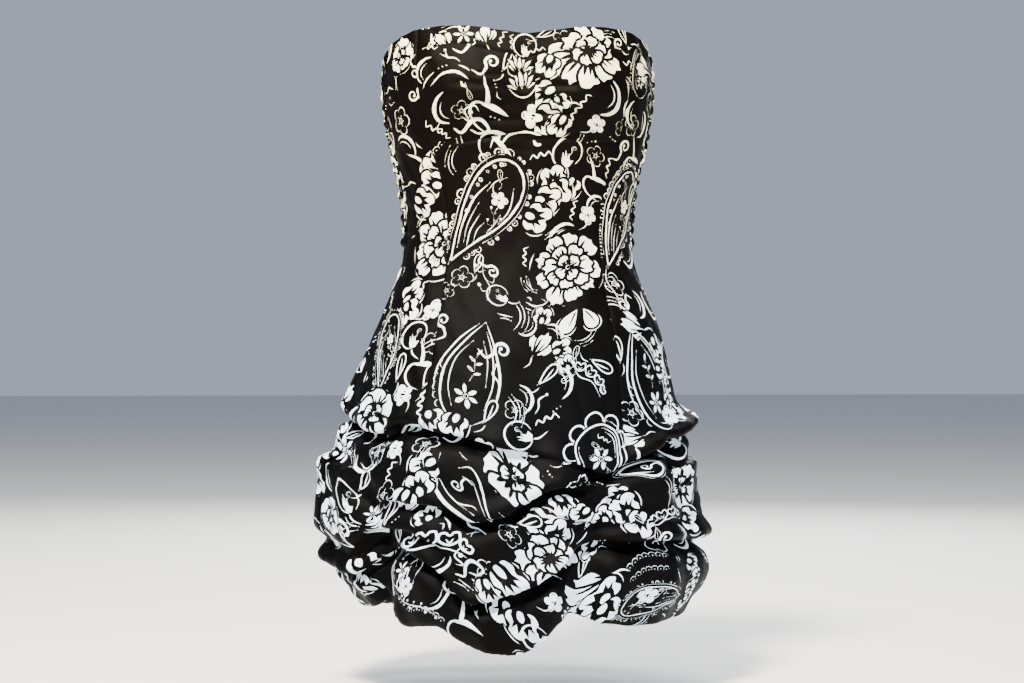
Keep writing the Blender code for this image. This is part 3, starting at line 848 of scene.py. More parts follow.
# Cloth measured flat: how far down each point lies, and how far round for a unit of half width
FLATTEN = 0.76
down = np.linalg.norm(np.diff(form, axis=0), axis=2)
down = np.concatenate((np.zeros((1, ANGLES.size)), np.cumsum(down, axis=0)))
turns = np.radians(ANGLES)
around = np.hypot(np.cos(turns), FLATTEN * np.sin(turns))
around = np.cumsum(around) * np.radians(ANGLE_STEP)
DOWN_STEP = 1.0
depths = np.arange(0, down.max(), DOWN_STEP)
row_down = np.stack([np.interp(depths, down[:, k], ROWS) for k in range(ANGLES.size)], axis=1)


def cloth_width(row):
    """The half width of the cloth as it is cut, at a row."""
    rows = (*range(HIP_ROW + 1), FLARE_ROW, JOIN_ROW)
    return np.interp(row, rows, (*RINGS["half_width"], 184, 192))


def to_cloth(angle, row, centre):
    """Where a place on the dress lies on the flat cloth."""
    across = np.interp(angle, ANGLES, around) - np.interp(centre, ANGLES, around)
    return cloth_width(row) * across - 1j * read(down, angle, row)


def to_dress(place, centre):
    """The angle and the row of a place on the flat cloth."""
    angle = np.full(place.size, float(centre))
    middle = np.interp(centre, ANGLES, around)
    for _ in range(8):
        row = read(row_down, angle, -place.imag, DOWN_STEP)
        angle = np.interp(place.real / cloth_width(row) + middle, around, ANGLES)
    return angle, row


# Creases, from one place on the net to another: the main ones as they show, and others like them
# on the sides and back. depth is out of the cloth, or into it where it is negative.
CREASES = table(
    "angle row to_angle to_row depth wide",
    (-3, 1.3, 20, 1.6, -2.6, 3.0),
    (-3, 1.9, 26, 2.1, -3.5, 3.4),
    (-4, 2.4, 24, 2.6, -2.9, 3.0),
    (-4, 2.9, 31, 3.0, -3.8, 3.6),
    (-4, 3.4, 22, 3.4, -2.9, 3.0),
    (-4, 3.8, 27, 3.7, -3.2, 3.2),
    (-3, 4.2, 18, 4.0, -2.2, 3.0),
    (3, 1.5, -24, 1.7, -2.9, 3.2),
    (4, 2.1, -33, 2.0, -3.8, 3.6),
    (4, 2.6, -27, 2.7, -2.9, 3.0),
    (4, 3.1, -38, 3.3, -4.2, 4.0),
    (4, 3.6, -28, 3.8, -3.2, 3.2),
    (3, 4.0, -24, 4.3, -2.6, 3.0),
    (-36, 5.2, -12, 5.6, -1.0, 5),
    (36, 5.1, 14, 5.5, -1.0, 5),
    (-38, 6.6, -16, 7.0, -0.8, 5),
    (37, 6.9, 12, 7.3, -0.9, 6),
    (-34, 8.4, -8, 8.9, -0.9, 7),
    (33, 8.2, 10, 8.7, -0.8, 6),
    (-80, 6.0, -48, 6.5, -1.3, 5),
    (-80, 7.1, -46, 7.4, -1.5, 5),
    (-79, 8.0, -50, 8.5, -1.1, 6),
    (80, 6.2, 47, 6.7, -1.4, 5),
    (80, 7.3, 50, 7.5, -1.5, 5),
    (79, 8.3, 48, 8.9, -1.0, 6),
    (85, 7.9, 128, 8.6, -1.6, 6),
    (274, 7.8, 232, 8.6, -1.6, 6),
    (140, 8.3, 176, 8.8, -1.2, 7),
    (88, 9.2, 116, 10.2, -1.4, 8),
    (272, 9.0, 240, 10.3, -1.4, 8),
    (-64, 11.6, -52, 13.6, -3.0, 7),
    (-30, 11.2, -26, 13.6, -2.4, 8),
    (-44, 10.9, -42, 13.5, -2.0, 6),
    (-12, 10.8, -14, 13.4, -1.6, 8),
    (25, 13.6, 8, 11.6, -2.6, 6),
    (25, 13.6, 16, 10.8, -2.4, 5),
    (26, 13.6, 31, 10.9, -2.4, 5),
    (26, 13.6, 44, 11.9, -2.6, 6),
    (60, 11.4, 62, 13.6, -2.0, 6),
    (-68, 18.3, -30, 20.8, -3.0, 7),
    (-66, 18.6, -46, 22.0, -2.6, 6),
    (-66, 18.8, -74, 22.4, -2.6, 6),
    (-40, 18.4, -24, 21.6, -2.8, 8),
    (-12, 18.6, -8, 21.6, -2.2, 7),
    (25, 18.4, 10, 21.2, -2.8, 6),
    (25, 18.4, 34, 21.6, -2.8, 6),
    (26, 18.6, 48, 20.8, -2.4, 6),
    (57, 18.4, 56, 24.0, -3.0, 6),
    (57, 18.6, 70, 22.2, -2.2, 6),
    (-50, 27.2, -34, 30.0, -2.8, 7),
    (-50, 27.4, -64, 30.4, -2.6, 7),
    (-22, 27.6, -26, 31.2, -2.4, 8),
    (2, 27.4, -6, 30.8, -2.4, 7),
    (20, 27.2, 32, 30.4, -2.6, 6),
    (20, 27.0, 8, 29.6, -2.4, 6),
    (44, 27.4, 42, 31.0, -2.0, 8),
    (66, 27.2, 64, 31.0, -2.2, 8),
    (-24, 36.6, -11, 39.6, -3.6, 5),
    (1, 36.6, -10, 39.6, -3.6, 5),
    (-12, 36.4, -11, 39.8, -2.2, 4),
    (-55, 36.4, -44, 38.8, -3.0, 6),
    (-55, 36.4, -66, 38.8, -3.0, 6),
    (17, 36.2, 28, 38.8, -3.0, 6),
    (17, 36.4, 6, 38.8, -2.6, 6),
    (44, 36.6, 46, 39.4, -2.4, 8),
    (66, 36.6, 70, 39.4, -2.4, 8),
)
BACK_CREASES = table(
    "angle row to_angle to_row depth wide",
    (0, 11.2, -8, 13.6, -2.6, 7),
    (0, 11.6, 12, 13.6, -2.2, 6),
    (0, 18.4, -14, 21.4, -3.0, 7),
    (0, 18.6, 10, 22.2, -2.6, 6),
    (0, 27.2, 14, 30.2, -2.8, 7),
    (0, 27.4, -9, 30.8, -2.4, 6),
    (0, 36.4, 11, 39.0, -3.0, 6),
    (0, 36.4, -12, 39.2, -2.6, 7),
)
for angle in (104, 125, 148, 172, 196, 219, 242, 258):
    shifted = BACK_CREASES["angle"] + angle + hand.uniform(-5, 5, BACK_CREASES["angle"].size)
    reach = BACK_CREASES["to_angle"] * hand.uniform(0.5, 1.3, shifted.size)
    rows = BACK_CREASES["row"] + hand.uniform(-0.2, 0.2, shifted.size)
    same = (BACK_CREASES[name] for name in ("to_row", "depth", "wide"))
    for name, column in zip(CREASES, (shifted, rows, shifted + reach, *same)):
        CREASES[name] = np.concatenate((CREASES[name], column))

# The lines that the skirt is drawn up along, with short creases that run from both sides of them
DRAWN_UP = table(
    "angle row to_angle to_row",
    (-70, 18.4, -50, 26.6),
    (-50, 36.4, -55, 39.2),
    (25, 18.4, 21, 26.8),
    (19, 27.4, 16, 39.2),
    (56, 18.4, 58, 23.6),
    (122, 18.4, 125, 39),
    (180, 18.6, 180, 39),
    (240, 18.4, 242, 39),
)
for angle, row, to_angle, to_row in zip(*DRAWN_UP.values()):
    for share in np.arange(0.04, 1, 0.55 / (to_row - row)):
        for side in (-1, 1):
            start = angle + (to_angle - angle) * share + 1.5 * side
            line = row + (to_row - row) * share + hand.uniform(-0.2, 0.2)
            end, low = start + side * hand.uniform(4, 13), line + hand.uniform(-0.35, 0.5)
            new = (start, line, end, low, -hand.uniform(0.8, 2.2), hand.uniform(2.2, 3.8))
            for name, value in zip(CREASES, new):
                CREASES[name] = np.append(CREASES[name], value)

# Where the cloth has settled further in than the plain rings of the folds
SETTLED = table("angle row depth angle_wide row_wide", (-80, 20.6, -5, 15, 1.2), (74, 38.4, -7, 20, 1.8))
MM_A_DEGREE = 3.2
SWELLS = table("across_wave up_wave depth phase", (61, 83, 0.45, 1), (-47, 39, 0.35, 4), (29, -58, 0.25, 2))


def creased():
    """How far every point of the net is moved out by creases and by the cloth's own unevenness."""
    out = np.zeros(down.shape)
    across = (ANGLES * MM_A_DEGREE)[None]
    for across_wave, up_wave, depth, phase in zip(*SWELLS.values()):
        out += depth * np.sin(2 * np.pi * (across / across_wave + down / up_wave) + phase)
    for angle, row, depth, wide, tall in zip(*SETTLED.values()):
        out += depth * np.exp(-(((ANGLES[None] - angle) / wide) ** 2) - ((ROWS[:, None] - row) / tall) ** 2)
    for angle, row, to_angle, to_row, depth, wide in zip(*CREASES.values()):
        start = read(down, np.array(angle), np.array(row))
        end = read(down, np.array(to_angle), np.array(to_row))
        run = (to_angle - angle) * MM_A_DEGREE + 1j * (end - start)
        first, last = np.searchsorted(ANGLES, (min(angle, to_angle) - 9, max(angle, to_angle) + 9))
        high, low = np.searchsorted(ROWS, (min(row, to_row) - 1.2, max(row, to_row) + 1.2))
        part = np.s_[high:low, first:last]
        place = (ANGLES[first:last] - angle)[None] * MM_A_DEGREE + 1j * (down[part] - start)
        along = np.clip((place * run.conj()).real / abs(run) ** 2, 0, 1)
        away = np.abs(place - along * run)
        out[part] += depth * np.exp(-((away / wide) ** 2)) * (1 - np.abs(2 * along - 1) ** 2.5)
    return out


FRONT_HEIGHTS = form[:, int(-ANGLES[0] / ANGLE_STEP), 2][: int((HIP_ROW - 1) / ROW_STEP)]
form = form + outward(form) * creased()[..., None]
direction = outward(form)


# The cloth's finish
# Both colours lie on the same weave. The right side is matt, with a faint dull shine on the black,
# and the wrong side shows the print faded to grey.
class Wire:
    """A number that leaves a node, for sums."""

    def __init__(self, board, socket):
        self.board, self.socket = board, socket

    def sum_of(self, operation, first, second):
        return self.board.add("ShaderNodeMath", {"operation": operation}, {0: first, 1: second})

    def __add__(self, other):
        return self.sum_of("ADD", self, other)

    def __mul__(self, other):
        return self.sum_of("MULTIPLY", self, other)

    __radd__, __rmul__ = __add__, __mul__

    def sine(self):
        return self.board.add("ShaderNodeMath", {"operation": "SINE"}, {0: self})


class Board:
    """The nodes of one material."""

    def __init__(self, name):
        self.material = bpy.data.materials.new(name)
        self.material.use_nodes = True
        self.nodes, self.links = self.material.node_tree.nodes, self.material.node_tree.links
        self.nodes.clear()

    def add(self, kind, settings=None, sockets=None, output=0):
        """A node with its settings, and the values or wires of its sockets."""
        node = self.nodes.new(kind)
        for name, value in (settings or {}).items():
            setattr(node, name, value)
        for name, value in (sockets or {}).items():
            if isinstance(value, Wire):
                self.links.new(value.socket, node.inputs[name])
            else:
                node.inputs[name].default_value = value
        return Wire(self, node.outputs[output]) if node.outputs else None


# In metres: one thread of the weave, the heights that the painted light runs between, with painted
# shade at the lower and painted warm light at the upper, and how deep the crumples and the weave look
THREAD = 0.00042
PAINTED_SHADE_HEIGHT, PAINTED_LIGHT_HEIGHT = -0.38, -0.02
CRUMPLE_DEEP, WEAVE_DEEP = 0.0035, 0.0002


def cotton(name, low, high, roughness, faded=0.0):
    """Plain-weave cotton. Its colour runs from low at the hem to high at the neckline: painted shade, cool
    and dark, at the hem and painted warm light at the neckline.
    """
    board = Board(name)
    place = board.add("ShaderNodeUVMap", {"uv_map": "cloth"})
    split = board.add("ShaderNodeSeparateXYZ", None, {0: place})
    across = Wire(board, split.socket.node.outputs[0])
    up = Wire(board, split.socket.node.outputs[1])
    turn = 2 * np.pi / THREAD
    weave = (across * turn).sine() * (up * turn).sine()
    slub = board.add("ShaderNodeTexNoise", None, {"Vector": place, "Scale": 900.0, "Detail": 2.0})
    cloud = board.add("ShaderNodeTexNoise", None, {"Vector": place, "Scale": 26.0, "Detail": 4.0})
    spot = board.add("ShaderNodeTexCoord", output=3)
    high_up = Wire(board, board.add("ShaderNodeSeparateXYZ", None, {0: spot}).socket.node.outputs[2])
    # Painted light: the low colour blends into the high one by height alone, so the top is painted lit and
    # the lower dress is painted in shade
    painted_light_share = board.add(
        "ShaderNodeMapRange",
        {"interpolation_type": "SMOOTHSTEP"},
        {"Value": high_up, "From Min": PAINTED_SHADE_HEIGHT, "From Max": PAINTED_LIGHT_HEIGHT},
    )
    base = board.add("ShaderNodeMix", {"data_type": "RGBA"}, {0: painted_light_share, 6: (*low, 1), 7: (*high, 1)}, 2)
    grain = 0.74 + 0.3 * cloud + 0.1 * slub + (0.03 + 0.03 * faded) * weave
    grey = board.add("ShaderNodeCombineColor", None, {0: grain, 1: grain, 2: grain})
    colour = board.add(
        "ShaderNodeMix", {"data_type": "RGBA", "blend_type": "MULTIPLY"}, {0: 1.0, 6: base, 7: grey}, 2
    )
    crumple = board.add(
        "ShaderNodeTexNoise",
        {"noise_type": "RIDGED_MULTIFRACTAL"},
        {"Vector": place, "Scale": 21.0, "Detail": 3.0, "Roughness": 0.45, "Distortion": 0.6},
    )
    folds = board.add(
        "ShaderNodeBump",
        None,
        {"Strength": 0.5, "Distance": CRUMPLE_DEEP, "Height": crumple + 0.3 * cloud},
    )
    bump = board.add(
        "ShaderNodeBump",
        None,
        {"Strength": 0.3, "Distance": WEAVE_DEEP, "Height": weave * 0.6 + slub, "Normal": folds},
    )
    shader = board.add(
        "ShaderNodeBsdfPrincipled",
        None,
        {
            "Base Color": colour,
            "Roughness": roughness + 0.1 * cloud,
            "Specular IOR Level": 0.036,
            "Normal": bump,
        },
    )
    board.add("ShaderNodeOutputMaterial", None, {0: shader})
    return board.material


# Each cotton's low colour is painted shade, cool and dark, and its high colour is painted warm light
COTTONS = (
    cotton("black_cotton", (0.0004, 0.0004, 0.0005), (0.0014, 0.0007, 0.0001), 0.46),
    cotton("white_print", (0.77, 0.89, 1.0), (1.0, 0.93, 0.62), 0.74),
    cotton("black_wrong_side", (0.020, 0.020, 0.020), (0.026, 0.023, 0.018), 0.84, 1),
    cotton("white_wrong_side", (0.34, 0.35, 0.37), (0.38, 0.36, 0.33), 0.84, 1),
)

# Cutting and sewing
# A piece is cut from the printed cloth with its print, laid on the dress, and its seam edges are
# rolled in where the seam draws them together. The cloth is half a millimetre thick, and its right
# side lies FACE_OUT from the middle of the solid's wall.
CLOTH_THICK = 0.5
FACE_OUT = 0.8
SEAM_ROLL, SEAM_ROLL_WIDE, SEAM_TUCK = 1.1, 1.6, 0.2
EDGE_STEP = 2.4
CLEAR_OF_EDGE = 2.2
ON_EDGE = 0.4
ROLL_LINES = (0.7, 1.7)
ROW_OF_TRIANGLES = 0.866

# Black spreads a little into the white: white shapes shrink by this much all round, and black ones
# grow by half of it
INK_SHRINK = 0.45


def neckline(name, angle):
    return monotone(NECK["angle"], NECK[name], np.abs((angle + 180) % 360 - 180))


def row_at(height):
    return np.interp(-height, -FRONT_HEIGHTS, ROWS[: FRONT_HEIGHTS.size])


def top_row(angle):
    return row_at(neckline("top", angle))


def band_row(angle):
    return row_at(neckline("top", angle) - neckline("band_depth", angle))


def under_bust_row(angle):
    return row_at(neckline("under_bust", angle))


def level(row):
    """A row of its own, the same all round."""
    return lambda angle: np.full_like(angle, row, dtype=float)


def fixed(angle):
    """A side seam, the same all the way down."""
    return lambda row: np.full_like(row, angle, dtype=float)


def princess(side):
    """A princess seam of the bodice, to the left or the right."""
    rows = np.arange(HIP_ROW + 1.0)
    return lambda row: side * monotone(rows, RINGS["princess"], np.clip(row, 0, HIP_ROW))


def outline_of(top, bottom, left, right, centre):
    """The edge of a piece on the flat cloth, and which of its points are sewn."""
    sides = []
    share = np.linspace(0, 1, 700)
    for edge, way in ((top, 1), (bottom, -1)):
        angle = np.full(share.size, float(centre))
        for _ in range(6):
            row = edge(angle)
            angle = left(row) + (right(row) - left(row)) * share
        sides.append(to_cloth(angle, edge(angle), centre)[::way])
    for seam, way in ((right, 1), (left, -1)):
        angle = seam(np.zeros(1))
        for _ in range(6):
            first, last = top(angle), bottom(angle)
            angle = seam(first)
        low = seam(last)
        for _ in range(6):
            low = seam(bottom(low))
        row = first + (bottom(low) - first) * share
        sides.append(to_cloth(seam(row), row, centre)[::way])
    edges = []
    for side in (sides[0], sides[2], sides[1], sides[3]):
        length = np.concatenate(([0], np.cumsum(np.abs(np.diff(side)))))
        count = max(2, int(length[-1] / EDGE_STEP))
        at = np.linspace(0, length[-1], count + 1)[:-1]
        edges.append(np.interp(at, length, side.real) + 1j * np.interp(at, length, side.imag))
    return edges


def on_dress(place, centre, out):
    """Points of the dress for places on the flat cloth, moved out of it by so much."""
    angle, row = to_dress(place, centre)
    return read(form, angle, row) + read(direction, angle, row) * np.asarray(out)[:, None]


def seen_at(top, bottom, left, right, centre, across, height):
    """The flat place that shows from the front at a distance across and a height."""
    first, last = top(np.array([centre * 1.0]))[0], bottom(np.array([centre * 1.0]))[0]
    row = np.arange(first, last, 0.08)[:, None]
    share = np.linspace(0, 1, 120)[None]
    angle = left(row) + (right(row) - left(row)) * share
    row = row + 0 * share
    points = read(form, angle, row)
    facing = read(direction, angle, row)[..., 1] < -0.15
    away = np.hypot(points[..., 0] - across, points[..., 2] - height)
    away = np.where(facing, away + 0.02 * (points[..., 1] + 200), 1e6)
    best = np.unravel_index(np.argmin(away), away.shape)
    return to_cloth(angle[best][None], row[best][None], centre)[0]


def in_turn(outline):
    """The outline with its points anticlockwise."""
    return outline if (outline.conj() * np.roll(outline, -1)).imag.sum() > 0 else outline[::-1]


def cut(
    name,
    shape,
    drawing,
    fineness=4.2,
    free_top=False,
    free_bottom=False,
    fullness=None,
):
    """Cut one piece out of the printed cloth, lay it on the dress and turn in its free top edge."""
    centre = shape[-1]
    edges = outline_of(*shape)
    edge = in_turn(grown(np.concatenate(edges), SEAM_TUCK))
    free_sides = (free_top, False, free_bottom, False)
    sewn = np.concatenate([side for side, free in zip(edges, free_sides) if not free])
    low = complex(edge.real.min(), edge.imag.min())
    high = complex(edge.real.max(), edge.imag.max())
    across = np.arange(low.real, high.real, fineness)
    up = np.arange(low.imag, high.imag, fineness * ROW_OF_TRIANGLES)
    lattice = (across[None] + 1j * up[:, None] + (np.arange(up.size)[:, None] % 2) * fineness / 2).ravel()
    lattice = lattice[within(lattice, edge)]
    lattice = lattice[far_from(edge, lattice) > CLEAR_OF_EDGE]
    rolls = [grown(edge, -by) for by in ROLL_LINES]
    rolls = np.concatenate([line[far_from(edge, line) > 0.6 * by] for line, by in zip(rolls, ROLL_LINES)])
    rolls = rolls[within(rolls, edge)]
    kept = []
    for colour, line in drawing:
        line = grown(line, -INK_SHRINK if colour == WHITE else INK_SHRINK / 2)
        inside = (line.real.max() > low.real) & (line.real.min() < high.real)
        if inside and line.imag.max() > low.imag and line.imag.min() < high.imag:
            kept.append((colour, line))
    loops = [edge] + [line for _, line in kept]
    points = np.concatenate(loops + [rolls, lattice])
    sides, start = [], 0
    for line in loops:
        sides += [(start + k, start + (k + 1) % line.size) for k in range(line.size)]
        start += line.size
    pairs = [Vector((p.real, p.imag)) for p in points.tolist()]
    found, _, faces, *_ = delaunay_2d_cdt(pairs, sides, [], 0, 1e-4, False)
    found = np.array([(v[0], v[1]) for v in found]) @ (1, 1j)
    faces = np.array(faces)
    middle = found[faces].mean(axis=1)
    inside = within(middle, edge)
    faces, middle = faces[inside], middle[inside]
    used, faces = np.unique(faces, return_inverse=True)
    found, faces = found[used], faces.reshape(-1, 3)
    colours = ink_at(middle, kept)
    out = FACE_OUT - SEAM_ROLL * np.exp(-((far_from(sewn, found) / SEAM_ROLL_WIDE) ** 2))
    if fullness:
        out += fullness(found, centre)
    body = on_dress(found, centre, out)
    mesh = bpy.data.meshes.new(name)
    mesh.from_pydata((body / 1000).tolist(), [], faces.tolist())
    mesh.polygons.foreach_set("material_index", np.where(colours == WHITE, 1, 0))
    cloth = mesh.uv_layers.new(name="cloth")
    corners = np.empty(len(mesh.loops), dtype=int)
    mesh.loops.foreach_get("vertex_index", corners)
    flat_place = np.stack((found.real, found.imag), axis=1)[corners] / 1000
    cloth.uv.foreach_set("vector", flat_place.ravel())
    if free_top:
        rim = np.append(edges[0], edges[1][:1])
        turn_in(mesh, np.flatnonzero(far_from(rim, found, closed=False) < ON_EDGE), found, centre)
    mesh.shade_smooth()
    finish_piece(name, mesh)


def far_from(line, places, closed=True):
    """How far each place is from a line of points."""
    a, b = (line, np.roll(line, -1)) if closed else (line[:-1], line[1:])
    far = np.empty(places.size)
    for first in range(0, places.size, AT_ONCE):
        p = places[first : first + AT_ONCE, None]
        run = (b - a)[None]
        long = np.abs(run) > 4 * EDGE_STEP
        along = np.clip(((p - a) * run.conj()).real / np.maximum(np.abs(run) ** 2, 1e-9), 0, 1)
        near = np.abs(p - a - along * run)
        far[first : first + AT_ONCE] = np.where(long, np.abs(p - a), near).min(axis=1)
    return far


# The neckline's turning: how far below the edge, and how far out of the middle of the cloth
FACING = ((0.0, 0.2), (0.3, -0.5), (2.0, -0.9), (6.0, -1.0), (12.0, -1.0))


def turn_in(mesh, rim, places, centre):
    """Fold the neckline edge over to the inside, as a turning of the same cloth."""
    shape = bmesh.new()
    shape.from_mesh(mesh)
    shape.verts.ensure_lookup_table()
    print_place = shape.loops.layers.uv["cloth"]
    rim = np.array([k for k in rim.tolist() if shape.verts[k].is_boundary])
    rim = rim[np.argsort(places[rim].real)]
    places = places[rim]
    line = [shape.verts[k] for k in rim.tolist()]
    for depth, out in FACING:
        edges = [edge for edge in map(shape.edges.get, zip(line, line[1:])) if edge]
        made = bmesh.ops.extrude_edge_only(shape, edges=edges)["geom"]
        at = {part.co.to_tuple(7): part for part in made if isinstance(part, bmesh.types.BMVert)}
        line = [at[vert.co.to_tuple(7)] for vert in line]
        for face in {face for vert in line for face in vert.link_faces}:
            face.material_index = BLACK if out < 0 else face.material_index
        points = on_dress(places - 1j * depth, centre, np.full(places.size, out)) / 1000
        for vert, point, place in zip(line, points.tolist(), (places + 1j * depth).tolist()):
            vert.co = point
            for loop in vert.link_loops:
                loop[print_place].uv = (place.real / 1000, place.imag / 1000)
    shape.to_mesh(mesh)
    shape.free()


def finish_piece(name, mesh):
    for cloth in COTTONS:
        mesh.materials.append(cloth)
    piece = bpy.data.objects.new(name + "_cloth", mesh)
    bpy.context.scene.collection.objects.link(piece)
    wall = piece.modifiers.new("thickness", "SOLIDIFY")
    wall.thickness = CLOTH_THICK / 1000
    wall.offset = -1
    wall.material_offset = 2
    wall.material_offset_rim = 0
    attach(piece, "root")
    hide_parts(name)


# Small motifs for the gaps in the print, each with the bare cloth that it needs round it
STREWN = (
    (ring_scroll, 25),
    (outline_flower, 20),
    (blossom, 18),
    (small_flower, 17),
    (scroll, 16),
    (leaf, 14),
    (sickle, 13),
    (squiggle, 11),
    (dashes, 9),
    (dots, 7),
    (dashes, 6),
)
TRIES = 260


def strewn(shape, ink, open_share):
    """The drawings of one piece with small ones strewn in some of the gaps between them."""
    edge = np.concatenate(outline_of(*shape))
    low, high = (complex(end(edge.real), end(edge.imag)) for end in (np.min, np.max))
    taken = np.concatenate([line for _, line in ink])
    for motif, room in STREWN:
        tries = hand.uniform(low.real, high.real, TRIES) + 1j * hand.uniform(low.imag, high.imag, TRIES)
        tries = tries[within(tries, edge)]
        tries = tries[ink_at(tries, ink) == BLACK]
        for at in tries.tolist():
            if np.abs(taken - at).min() < room or hand.random() < open_share:
                continue
            drawn = placed(motif(), 0, hand.uniform(0.8, 1.1), hand.uniform(0, 360))
            reach = np.concatenate([line for _, line in drawn])
            middle = complex(reach.real.min() + reach.real.max(), reach.imag.min() + reach.imag.max()) / 2
            ink = ink + placed(drawn, at - middle)
            taken = np.concatenate((taken, reach + at - middle))
    return ink


def printed(shape, rows, open_share=0.93):
    """The drawings of one piece, each placed where it shows from the front."""
    ink = []
    for motif, across, height, size, turn in rows:
        ink += placed(motif(), seen_at(*shape, across, height), size, turn)
    return strewn(shape, ink, open_share)


# Neck band
# A shaped band of the same cotton along the neckline over the two cups. Its top edge is turned in,
# and its lower edge is sewn to the gathered cups.
BAND = (top_row, band_row, princess(-1), princess(1), 0.0)

# The print of each piece: a motif, how far across and at what height it shows from the front, in
# millimetres, then its size and its turn
BAND_PRINT = (
    (leaf, -104, 38, 0.9, 40),
    (sickle, -90, 42, 1.0, 60),
    (tulip, -80, 40, 0.6, 40),
    (arcs, -74, 46, 0.8, 20),
    (star_flower, -66, 61, 0.7, 0),
    (tulip, -43, 42, 0.6, 4),
    (squiggle, -54, 44, 0.7, 80),
    (squiggle, -25, 50, 0.8, 70),
    (squiggle, -14, 46, 0.7, 95),
    (ring_scroll, -2, 44, 0.65, 10),
    (leaf, 12, 50, 0.7, 30),
    (squiggle, 12, 36, 0.8, 20),
    (outline_flower, 40, 48, 0.65, 0),
    (fan_flower, 68, 36, 0.8, 0),
    (sickle, 62, 58, 0.6, 160),
    (arcs, 92, 40, 0.7, 40),
    (scroll, 104, 50, 0.8, 90),
    (leaf, 122, 50, 0.8, 120),
)
band_ink = printed(BAND, BAND_PRINT)
cut("neck_band", BAND, band_ink, free_top=True)

# Cups
# Two bust pieces, eased into the band above and the panel below, and drawn up along the seam
# between them so that small gathers run outwards from it.
CENTRE_SEAM = 4
CUP_RIGHT = (band_row, under_bust_row, princess(-1), fixed(CENTRE_SEAM), -24.0)
CUP_LEFT = (band_row, under_bust_row, fixed(CENTRE_SEAM), princess(1), 24.0)
CUP_RIGHT_PRINT = (
    (sickle, -112, 22, 0.8, 330),
    (dashes, -86, 32, 1.0, 150),
    (stem, -70, 24, 0.8, 60),
    (scroll, -36, 24, 0.95, 20),
    (leaf, -24, 12, 0.9, 70),
    (fan, -7, 22, 0.95, 0),
    (fan, -5, 2, 1.05, 10),
    (dots, -34, 0, 0.9, 290),
    (dashes, -30, -14, 0.8, 300),
    (crescents, -82, 6, 0.8, 0),
    (leaf, -66, -6, 0.4, 300),
    (sickle, -94, -26, 0.95, 0),
    (tail, -44, -22, 1.0, 0),
    (outline_flower, -69, -27, 0.65, 20),
    (ribbon, -58, -42, 0.9, 0),
    (squiggle, -98, -44, 1.0, 150),
    (squiggle, -87, -50, 0.9, 130),
    (sickle, -26, -56, 1.0, 250),
)
CUP_LEFT_PRINT = (
    (stem, 6, -8, 0.8, 110),
    (squiggle, 10, 34, 0.9, 10),
    (fan_flower, 68, 36, 0.8, 0),
    (blossom, 22, 20, 0.95, 330),
    (blossom, 18, -10, 1.05, 290),
    (blossom, 36, -21, 0.75, 30),
    (blossom, 20, -38, 1.15, 60),
    (blossom, 36, -43, 0.9, 330),
    (small_flower, 77, -42, 0.8, 10),
    (stem, 60, -24, 0.8, 70),
    (squiggle, 62, -20, 1.0, 60),
    (squiggle, 52, -34, 0.9, 70),
    (arcs, 44, -50, 0.7, 240),
    (sickle, 118, -24, 0.7, 0),
    (outline_flower, 112, -44, 0.6, 80),
)
cups_cut = (
    ("cup_right", CUP_RIGHT, CUP_RIGHT_PRINT, (0.155, 0.105), 0.0142),
    ("cup_left", CUP_LEFT, CUP_LEFT_PRINT, (0.145, 0.105), 0.0125),
)
for name, shape, rows, flat, area in cups_cut:
    cut(name, shape, printed(shape, rows), fineness=3.0)

